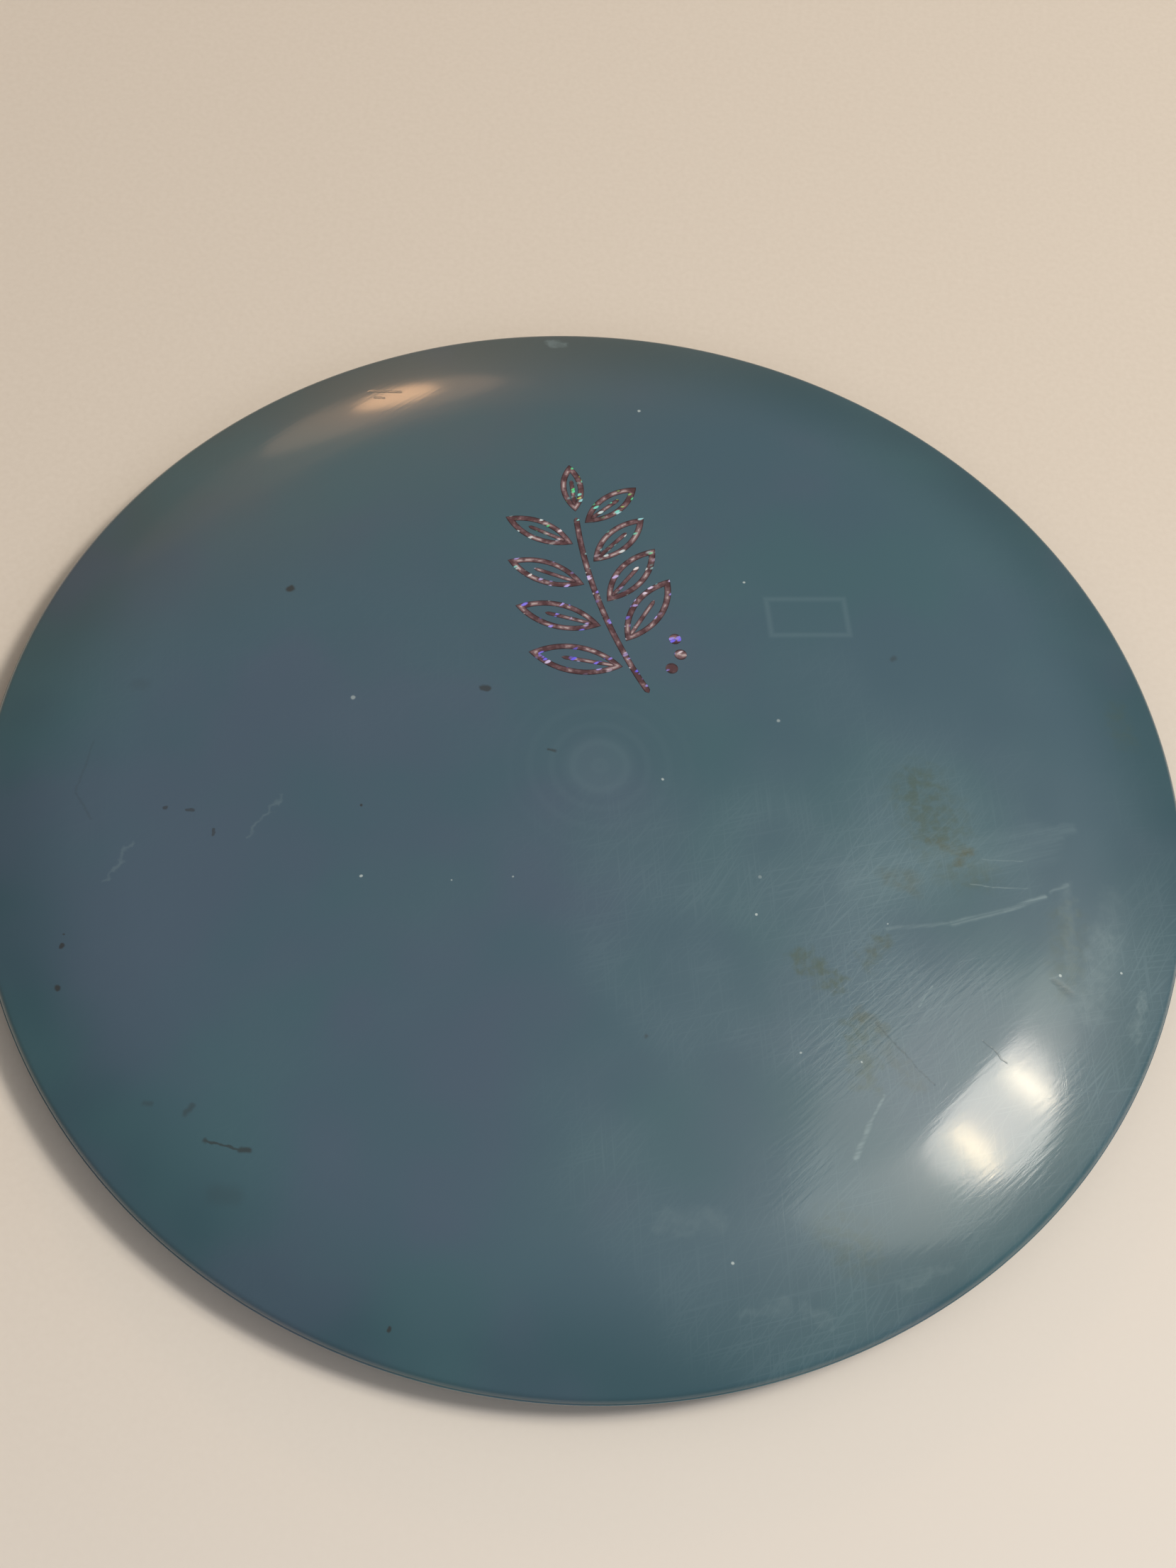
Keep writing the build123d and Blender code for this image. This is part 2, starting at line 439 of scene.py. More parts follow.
def lathe_tree() -> Tree:
    """A geometry tree that turns a section curve about Z and lets the wing waver a little.

    Returns:
        The tree, with inputs for the section, the number of spokes, the waver and the material.
    """
    tree, given = new_tree(
        "turned_moulding",
        {
            "Section": "NodeSocketObject",
            "Spokes": "NodeSocketInt",
            "Waver": "NodeSocketFloat",
            "Waver Start": "NodeSocketFloat",
            "Waver Full": "NodeSocketFloat",
            "Waver End": "NodeSocketFloat",
            "Material": "NodeSocketMaterial",
        },
    )
    section = add_node(tree, "GeometryNodeObjectInfo", {"Object": given.outputs["Section"]}).outputs["Geometry"]
    count = add_node(tree, "GeometryNodeAttributeDomainSize", {0: section}, component="CURVE").outputs["Point Count"]
    spokes = given.outputs["Spokes"]
    rows = add_node(tree, "FunctionNodeIntegerMath", {0: spokes, 1: 1}, operation="ADD").outputs[0]
    grid = add_node(tree, "GeometryNodeMeshGrid", {"Vertices X": rows, "Vertices Y": count}).outputs["Mesh"]
    index = add_node(tree, "GeometryNodeInputIndex").outputs[0]
    ring = add_node(tree, "FunctionNodeIntegerMath", {0: index, 1: count}, operation="MODULO").outputs[0]
    spoke = add_node(tree, "FunctionNodeIntegerMath", {0: index, 1: count}, operation="DIVIDE_FLOOR").outputs[0]
    position = add_node(tree, "GeometryNodeInputPosition").outputs[0]
    sample = add_node(
        tree,
        "GeometryNodeSampleIndex",
        {"Geometry": section, "Value": position, "Index": ring},
        data_type="FLOAT_VECTOR",
    ).outputs["Value"]
    parts = add_node(tree, "ShaderNodeSeparateXYZ", {0: sample})
    share = add_node(tree, "ShaderNodeMath", {0: spoke, 1: spokes}, operation="DIVIDE").outputs[0]
    turn = add_node(tree, "ShaderNodeMath", {0: share, 1: math.tau}, operation="MULTIPLY").outputs[0]
    cosine = add_node(tree, "ShaderNodeMath", {0: turn}, operation="COSINE").outputs[0]
    sine = add_node(tree, "ShaderNodeMath", {0: turn}, operation="SINE").outputs[0]
    radius = parts.outputs["X"]
    x = add_node(tree, "ShaderNodeMath", {0: radius, 1: cosine}, operation="MULTIPLY").outputs[0]
    y = add_node(tree, "ShaderNodeMath", {0: radius, 1: sine}, operation="MULTIPLY").outputs[0]
    around = add_node(tree, "ShaderNodeCombineXYZ", {"X": cosine, "Y": sine}).outputs[0]
    noise = add_node(tree, "ShaderNodeTexNoise", {"Vector": around, "Scale": 3.0, "Detail": 1.0}).outputs[0]
    rise = add_node(
        tree,
        "ShaderNodeMapRange",
        {"Value": radius, "From Min": given.outputs["Waver Start"], "From Max": given.outputs["Waver Full"]},
        interpolation_type="SMOOTHSTEP",
    ).outputs[0]
    fall = add_node(
        tree,
        "ShaderNodeMapRange",
        {"Value": radius, "From Min": given.outputs["Waver End"], "From Max": given.outputs["Waver Full"]},
        interpolation_type="SMOOTHSTEP",
    ).outputs[0]
    band = add_node(tree, "ShaderNodeMath", {0: rise, 1: fall}, operation="MULTIPLY").outputs[0]
    centred = add_node(tree, "ShaderNodeMath", {0: noise, 1: 0.5}, operation="SUBTRACT").outputs[0]
    waver = add_node(tree, "ShaderNodeMath", {0: centred, 1: given.outputs["Waver"]}, operation="MULTIPLY").outputs[0]
    height = add_node(
        tree, "ShaderNodeMath", {0: waver, 1: band, 2: parts.outputs["Y"]}, operation="MULTIPLY_ADD"
    ).outputs[0]
    place = add_node(tree, "ShaderNodeCombineXYZ", {"X": x, "Y": y, "Z": height}).outputs[0]
    turned = add_node(tree, "GeometryNodeSetPosition", {"Geometry": grid, "Position": place}).outputs[0]
    welded = add_node(tree, "GeometryNodeMergeByDistance", {"Geometry": turned, "Distance": WELD}).outputs[0]
    real = add_node(tree, "GeometryNodeRealizeInstances", {"Geometry": welded}).outputs[0]
    dressed = add_node(
        tree, "GeometryNodeSetMaterial", {"Geometry": real, "Material": given.outputs["Material"]}
    ).outputs[0]
    add_node(tree, "NodeGroupOutput", {"Geometry": dressed})
    return tree


@dataclass(frozen=True)
class Moulding:
    """The disc's body: the turned moulding and the blank information insert under its plate."""

    section: DiscSection
    spokes: int = 360
    waver: float = 0.10
    insert_place: Point2 = (35.0, 37.4)
    insert_size: Point2 = (14.4, 8.0)
    insert_turn: float = 11.0
    insert_height: float = 0.3
    insert_corner: float = 0.8

    def build(self, material: bpy.types.Material) -> bpy.types.Object:
        """Builds the body as one piece that stands for the CAD moulding.

        Args:
            material: the plastic.

        Returns:
            The finished piece.
        """
        outline = [Vector((r, z, 0)) * MM for r, z in self.section.outline()]
        profile = curve_object("section_line", [outline])
        values = {
            "Section": profile,
            "Spokes": self.spokes,
            "Waver": self.waver * MM,
            "Waver Start": (self.section.shoulder_radius - 4) * MM,
            "Waver Full": (self.section.shoulder_radius + 8) * MM,
            "Waver End": self.section.outer_radius * MM,
            "Material": material,
        }
        piece = run_tree("moulded_disc", lathe_tree(), values, [profile])
        self.add_insert(piece.data)
        face_outward(piece.data, 35)
        return piece

    def insert_outline(self) -> list[Point2]:
        """The insert's rounded rectangle.

        Returns:
            Its points about its own middle.
        """
        w, h, c = self.insert_size[0] / 2, self.insert_size[1] / 2, self.insert_corner
        corners = [(w, h), (-w, h), (-w, -h), (w, -h)]
        points = []
        for i, corner in enumerate(corners):
            points += round_corner(corners[i - 1], corner, corners[(i + 1) % 4], c, 4)
        return points

    def add_insert(self, mesh: bpy.types.Mesh) -> None:
        """Adds the blank insert's pad to the body's mesh, following the ceiling of the hollow.

        Args:
            mesh: the body's mesh, which is changed in place.
        """
        work = bmesh.new()
        work.from_mesh(mesh)
        turn = math.radians(self.insert_turn)
        rings = []
        edge = 0.08
        for inset, drop in ((0.0, -0.3), (0.0, self.insert_height - edge), (edge, self.insert_height)):
            ring = []
            for x, y in self.insert_outline():
                x, y = x * (1 - inset / self.insert_size[0]), y * (1 - inset / self.insert_size[1])
                px = self.insert_place[0] + x * math.cos(turn) - y * math.sin(turn)
                py = self.insert_place[1] + x * math.sin(turn) + y * math.cos(turn)
                pz = self.section.dome_height(math.hypot(px, py)) - self.section.plate_thickness - drop
                ring.append(work.verts.new(Vector((px, py, pz)) * MM))
            rings.append(ring)
        for upper, lower in zip(rings, rings[1:]):
            for i in range(len(upper)):
                j = (i + 1) % len(upper)
                work.faces.new((upper[i], upper[j], lower[j], lower[i]))
        work.faces.new(rings[0])
        work.faces.new(list(reversed(rings[-1])))
        work.to_mesh(mesh)
        work.free()


# ---- the foil ---------------------------------------------------------------------------------
def film_tree() -> Tree:
    """A geometry tree that fills the band between two edge lines with a film that follows the dome.

    Returns:
        The tree. Its edges come in pairs of splines, and its cross section is a closed loop whose X is
        the share of the way from one edge to the other, and whose Y is the height over the plate.
    """
    tree, given = new_tree(
        "stamped_film",
        {
            "Edges": "NodeSocketObject",
            "Bands": "NodeSocketInt",
            "Along": "NodeSocketInt",
            "Cross Section": "NodeSocketObject",
            "Dome Radius": "NodeSocketFloat",
            "Centre Height": "NodeSocketFloat",
            "Material": "NodeSocketMaterial",
        },
    )
    edges = add_node(tree, "GeometryNodeObjectInfo", {"Object": given.outputs["Edges"]}).outputs["Geometry"]
    loop = add_node(tree, "GeometryNodeObjectInfo", {"Object": given.outputs["Cross Section"]}).outputs["Geometry"]
    count = add_node(tree, "GeometryNodeAttributeDomainSize", {0: loop}, component="CURVE").outputs["Point Count"]
    along = given.outputs["Along"]
    across = add_node(tree, "FunctionNodeIntegerMath", {0: count, 1: 1}, operation="ADD").outputs[0]
    grid = add_node(tree, "GeometryNodeMeshGrid", {"Vertices X": along, "Vertices Y": across}).outputs["Mesh"]
    spots = add_node(tree, "GeometryNodePoints", {"Count": given.outputs["Bands"]}).outputs[0]
    copies = add_node(tree, "GeometryNodeInstanceOnPoints", {"Points": spots, "Instance": grid}).outputs[0]
    bands = add_node(tree, "GeometryNodeRealizeInstances", {"Geometry": copies}).outputs[0]
    index = add_node(tree, "GeometryNodeInputIndex").outputs[0]
    size = add_node(tree, "FunctionNodeIntegerMath", {0: along, 1: across}, operation="MULTIPLY").outputs[0]
    band = add_node(tree, "FunctionNodeIntegerMath", {0: index, 1: size}, operation="DIVIDE_FLOOR").outputs[0]
    local = add_node(tree, "FunctionNodeIntegerMath", {0: index, 1: size}, operation="MODULO").outputs[0]
    step = add_node(tree, "FunctionNodeIntegerMath", {0: local, 1: across}, operation="DIVIDE_FLOOR").outputs[0]
    row = add_node(tree, "FunctionNodeIntegerMath", {0: local, 1: across}, operation="MODULO").outputs[0]
    corner = add_node(tree, "FunctionNodeIntegerMath", {0: row, 1: count}, operation="MODULO").outputs[0]
    last = add_node(tree, "FunctionNodeIntegerMath", {0: along, 1: 1}, operation="SUBTRACT").outputs[0]
    share = add_node(tree, "ShaderNodeMath", {0: step, 1: last}, operation="DIVIDE").outputs[0]
    first = add_node(tree, "FunctionNodeIntegerMath", {0: band, 1: 2}, operation="MULTIPLY").outputs[0]
    second = add_node(tree, "FunctionNodeIntegerMath", {0: first, 1: 1}, operation="ADD").outputs[0]
    sides = [
        add_node(
            tree,
            "GeometryNodeSampleCurve",
            {"Curves": edges, "Factor": share, "Curve Index": spline},
            mode="FACTOR",
            use_all_curves=False,
        ).outputs["Position"]
        for spline in (first, second)
    ]
    position = add_node(tree, "GeometryNodeInputPosition").outputs[0]
    section = add_node(
        tree,
        "GeometryNodeSampleIndex",
        {"Geometry": loop, "Value": position, "Index": corner},
        data_type="FLOAT_VECTOR",
    ).outputs["Value"]
    parts = add_node(tree, "ShaderNodeSeparateXYZ", {0: section})
    spot = add_node(
        tree,
        "ShaderNodeMix",
        {0: parts.outputs["X"], 4: sides[0], 5: sides[1]},
        data_type="VECTOR",
        clamp_factor=False,
    ).outputs[1]
    distance2 = add_node(tree, "ShaderNodeVectorMath", {0: spot, 1: spot}, operation="DOT_PRODUCT").outputs["Value"]
    radius = given.outputs["Dome Radius"]
    radius2 = add_node(tree, "ShaderNodeMath", {0: radius, 1: radius}, operation="MULTIPLY").outputs[0]
    under = add_node(tree, "ShaderNodeMath", {0: radius2, 1: distance2}, operation="SUBTRACT").outputs[0]
    root = add_node(tree, "ShaderNodeMath", {0: under}, operation="SQRT").outputs[0]
    drop = add_node(tree, "ShaderNodeMath", {0: root, 1: radius}, operation="SUBTRACT").outputs[0]
    dome = add_node(tree, "ShaderNodeMath", {0: drop, 1: given.outputs["Centre Height"]}, operation="ADD").outputs[0]
    height = add_node(tree, "ShaderNodeMath", {0: dome, 1: parts.outputs["Y"]}, operation="ADD").outputs[0]
    lift = add_node(tree, "ShaderNodeCombineXYZ", {"Z": height}).outputs[0]
    place = add_node(tree, "ShaderNodeVectorMath", {0: spot, 1: lift}, operation="ADD").outputs[0]
    laid = add_node(tree, "GeometryNodeSetPosition", {"Geometry": bands, "Position": place}).outputs[0]
    marked = add_node(
        tree,
        "GeometryNodeStoreNamedAttribute",
        {"Geometry": laid, "Name": ACROSS, "Value": parts.outputs["X"]},
        data_type="FLOAT",
        domain="POINT",
    ).outputs[0]
    welded = add_node(tree, "GeometryNodeMergeByDistance", {"Geometry": marked, "Distance": WELD}).outputs[0]
    whole = add_node(tree, "GeometryNodeRealizeInstances", {"Geometry": welded}).outputs[0]
    dressed = add_node(
        tree, "GeometryNodeSetMaterial", {"Geometry": whole, "Material": given.outputs["Material"]}
    ).outputs[0]
    add_node(tree, "NodeGroupOutput", {"Geometry": dressed})
    return tree


@dataclass(frozen=True)
class FoilPress:
    """How the hot die lays the film: a shallow gutter with rolled edges."""

    section: DiscSection
    film_lift: float = 0.015
    edge_roll: float = 0.045
    skirt: float = 0.10
    rows: int = 9

    def cross_section(self) -> list[Vector]:
        """The closed loop across a band: a shallow gutter on top, and a flat foot inside the plate.

        Returns:
            Its points: X is the share of the way across, Y the height over the plate in metres.
        """
        loop = [Vector((0.0, -self.skirt * MM, 0))]
        for i in range(self.rows):
            share = i / (self.rows - 1)
            rim = abs(2 * share - 1) ** 3
            rounded = 0.5 if i in (0, self.rows - 1) else 1.0
            loop.append(Vector((share, (self.film_lift + self.edge_roll * rim * rounded) * MM, 0)))
        loop.append(Vector((1.0, -self.skirt * MM, 0)))
        return loop

    def press(self, name: str, bands: list[list[Point2]], along: int, film: bpy.types.Material) -> bpy.types.Object:
        """Presses one island of foil.

        Args:
            name: the piece's name.
            bands: edge lines in pairs.
            along: samples along each band.
            film: the foil's material.

        Returns:
            The finished piece.
        """
        edges = curve_object("edge_lines", [[Vector((x, y, 0)) * MM for x, y in line] for line in bands])
        loop = curve_object("gutter_line", [self.cross_section()], closed=True)
        values = {
            "Edges": edges,
            "Bands": len(bands) // 2,
            "Along": along,
            "Cross Section": loop,
            "Dome Radius": self.section.dome_radius * MM,
            "Centre Height": self.section.centre_height * MM,
            "Material": film,
        }
        piece = run_tree(name, film_tree(), values, [edges, loop])
        face_outward(piece.data, 50)
        return piece


def stroke_edges(line: list[Point2], width: float, taper: float) -> list[list[Point2]]:
    """The two edges of a pen stroke whose ends are rounded off.

    Args:
        line: points of its centre line.
        width: full width.
        taper: share of its length at each end over which the width closes.

    Returns:
        The left and right edges, which meet at both ends.
    """
    left, right = [], []
    for i, (x, y) in enumerate(line):
        x0, y0 = line[max(i - 1, 0)]
        x1, y1 = line[min(i + 1, len(line) - 1)]
        length = math.hypot(x1 - x0, y1 - y0)
        nx, ny = -(y1 - y0) / length, (x1 - x0) / length
        share = i / (len(line) - 1)
        near = min(share, 1 - share) / taper
        half = width / 2 * (math.sqrt(1 - (1 - near) ** 2) if near < 1 else 1.0)
        left.append((x + nx * half, y + ny * half))
        right.append((x - nx * half, y - ny * half))
    return [left, right]


@dataclass(frozen=True)
class FoilSprig:
    """The stamped sprig: a stem, leaves in turn on both sides, a leaf at the tip and three berries."""

    press: FoilPress
    film: bpy.types.Material
    stroke_width: float = 1.1
    stem_base: Point2 = (8.0, 16.0)
    stem_tip: Point2 = (-9.0, 53.0)
    stem_radius: float = 95.0
    leaf_pairs: int = 4
    first_leaf: float = 0.14
    last_leaf: float = 0.94
    leaf_gap: float = 0.9
    leaf_spread: float = 54.0
    lowest_leaf_length: float = 17.5
    highest_leaf_length: float = 13.0
    tip_leaf_length: float = 11.5
    leaf_slimness: float = 0.37
    leaf_belly: float = 0.45
    midrib_width: float = 0.8
    midrib_share: float = 0.62
    berry_count: int = 3
    berry_radius: float = 1.1
    berry_ring_radius: float = 4.6
    berry_step: float = 44.0
    berry_centre: Point2 = (8.2, 25.0)
    stem_steps: int = 90
    stem_taper: float = 0.02  # shares of the length over which an end is rounded
    midrib_taper: float = 0.12
    berry_taper: float = 0.5
    midrib_overlap: float = 0.35  # how far the midrib runs into the outline, so that the two join
    leaf_steps: int = 24
    midrib_steps: int = 20
    berry_steps: int = 40
    stem_samples: int = 120
    leaf_samples: int = 97
    berry_samples: int = 41

    def stem_line(self, steps: int) -> list[Point2]:
        """Centre line of the stem, an arc that bows away from the right-hand leaves.

        Args:
            steps: number of equal steps.

        Returns:
            steps + 1 points.
        """
        (x0, y0), (x1, y1) = self.stem_base, self.stem_tip
        length = math.hypot(x1 - x0, y1 - y0)
        bow = self.stem_radius - math.sqrt(self.stem_radius**2 - (length / 2) ** 2)
        middle = ((x0 + x1) / 2 - bow * (y1 - y0) / length, (y0 + y1) / 2 + bow * (x1 - x0) / length)
        return arc_points(self.stem_base, middle, self.stem_tip, steps)

    def leaf_bands(self, base: Point2, heading: float, length: float) -> list[list[Point2]]:
        """Edges of a leaf's outline and of its midrib.

        Args:
            base: where the leaf's point nearest the stem is.
            heading: direction of growth, in radians.
            length: from base to tip.

        Returns:
            Outer and inner edges of the outline, then both edges of the midrib.
        """
        half = self.leaf_slimness * length / 2
        belly = (self.leaf_belly * length, half)
        outer_side = arc_points((0, 0), belly, (length, 0), self.leaf_steps)
        ends = self.inset_ends(length, half)
        inner_belly = (belly[0], half - self.stroke_width)
        inner_side = arc_points((ends[0], 0), inner_belly, (ends[1], 0), self.leaf_steps)
        loops = []
        for side in (outer_side, inner_side):
            loops.append(side + [(x, -y) for x, y in reversed(side[:-1])])
        rib_end = self.stroke_width / 2 + self.midrib_share * length
        rib = line_points((ends[0] - self.midrib_overlap, 0), (rib_end, 0), self.midrib_steps)
        bands = [*loops, *stroke_edges(rib, self.midrib_width, self.midrib_taper)]
        cosine, sine = math.cos(heading), math.sin(heading)
        return [
            [(base[0] + x * cosine - y * sine, base[1] + x * sine + y * cosine) for x, y in line]
            for line in bands
        ]

    def inset_ends(self, length: float, half: float) -> Point2:
        """Where a leaf's inner edge meets its middle line.

        Args:
            length: from base to tip.
            half: half of its greatest width.

        Returns:
            The places near the base and near the tip, from the base.
        """
        slope_base = math.atan(2 * half / (self.leaf_belly * length))
        slope_tip = math.atan(2 * half / ((1 - self.leaf_belly) * length))
        return self.stroke_width / math.sin(slope_base), length - self.stroke_width / math.sin(slope_tip)

    def leaves(self) -> dict[str, tuple[Point2, float, float]]:
        """Lays the leaves out along the stem, in turn on its left and right, and one at its tip.

        Returns:
            Base, heading in radians and length of each leaf by node name.
        """
        fine = 400
        stem = self.stem_line(fine)
        reach = self.stroke_width / 2 + self.leaf_gap
        spread = math.radians(self.leaf_spread)
        found = {}
        total = 2 * self.leaf_pairs
        for index in range(total):
            share = self.first_leaf + (self.last_leaf - self.first_leaf) * index / (total - 1)
            at = round(share * fine)
            foot, ahead, behind = stem[at], stem[at + 1], stem[at - 1]
            side = 1 if index % 2 == 0 else -1
            heading = math.atan2(ahead[1] - behind[1], ahead[0] - behind[0]) + side * spread
            step = reach / math.sin(spread)
            base = (foot[0] + step * math.cos(heading), foot[1] + step * math.sin(heading))
            length = self.lowest_leaf_length + (self.highest_leaf_length - self.lowest_leaf_length) * share
            found[f"foil_leaf_{index + 1}"] = (base, heading, length)
        heading = math.atan2(stem[-1][1] - stem[-2][1], stem[-1][0] - stem[-2][0])
        base = (self.stem_tip[0] + reach * math.cos(heading), self.stem_tip[1] + reach * math.sin(heading))
        found["foil_leaf_tip"] = (base, heading, self.tip_leaf_length)
        return found

    def build(self) -> dict[str, bpy.types.Object]:
        """Presses every island of the sprig.

        Returns:
            The pieces by the CAD node that each one stands for.
        """
        stem = stroke_edges(self.stem_line(self.stem_steps), self.stroke_width, self.stem_taper)
        pieces = {"foil_stem": self.press.press("stem_film", stem, self.stem_samples, self.film)}
        for node, (base, heading, length) in self.leaves().items():
            name = node.removeprefix("foil_") + "_film"
            bands = self.leaf_bands(base, heading, length)
            pieces[node] = self.press.press(name, bands, self.leaf_samples, self.film)
        for index in range(self.berry_count):
            turn = math.radians(self.berry_step * (index - 1))
            x = self.berry_centre[0] + self.berry_ring_radius * math.cos(turn)
            y = self.berry_centre[1] + self.berry_ring_radius * math.sin(turn)
            dot = line_points((x - self.berry_radius, y), (x + self.berry_radius, y), self.berry_steps)
            edges = stroke_edges(dot, 2 * self.berry_radius, self.berry_taper)
            film = self.press.press(f"berry_{index + 1}_film", edges, self.berry_samples, self.film)
            pieces[f"foil_berry_{index + 1}"] = film
        return pieces


# ---- finishes ---------------------------------------------------------------------------------
@dataclass(frozen=True)
class Residue:
    """How one kind of mark looks: its colour, how much it hides, and how it breaks up."""

    colour: str
    cover: float
    sway: float  # how far its outline wanders, in millimetres
    broken: float = 0.0  # how much of it is missing in patches
    depth: float = 0.0  # how deep it cuts, in millimetres


class MarkKind(Enum):
    """The kinds of mark that use has left on the plastic, and a painted sheen drawn as rubs."""

    OLIVE_STAIN = Residue("#3F4F38", 0.60, 7.0, 0.72)
    RUST_STAIN = Residue("#474A27", 0.66, 4.0, 0.60)
    SKID = Residue("#7A939C", 0.36, 1.6, 0.55)
    RUB_AND_SHEEN = Residue("#7E949A", 0.40, 4.0, 0.45)
    SCRATCH = Residue("#8FA6AB", 0.46, 0.6, 0.70, 0.004)
    CUT = Residue("#2F3F46", 0.60, 1.0, 0.40, 0.014)
    DIRT = Residue("#262522", 0.80, 1.5)
    GRAIN = Residue("#BCCACC", 0.75, 0.5)


@dataclass(frozen=True)
class Mark:
    """One mark on the top of the disc: a dot, or a stroke where it has an end."""

    kind: MarkKind
    start: Point2
    half_width: float
    end: Point2 | None = None
    strength: float = 1.0
    blur: float = 0.6  # width of its soft edge, as a share of the half width


OLIVE, RUST, SKID, RUB_AND_SHEEN, SCRATCH, CUT, DIRT, GRAIN = MarkKind
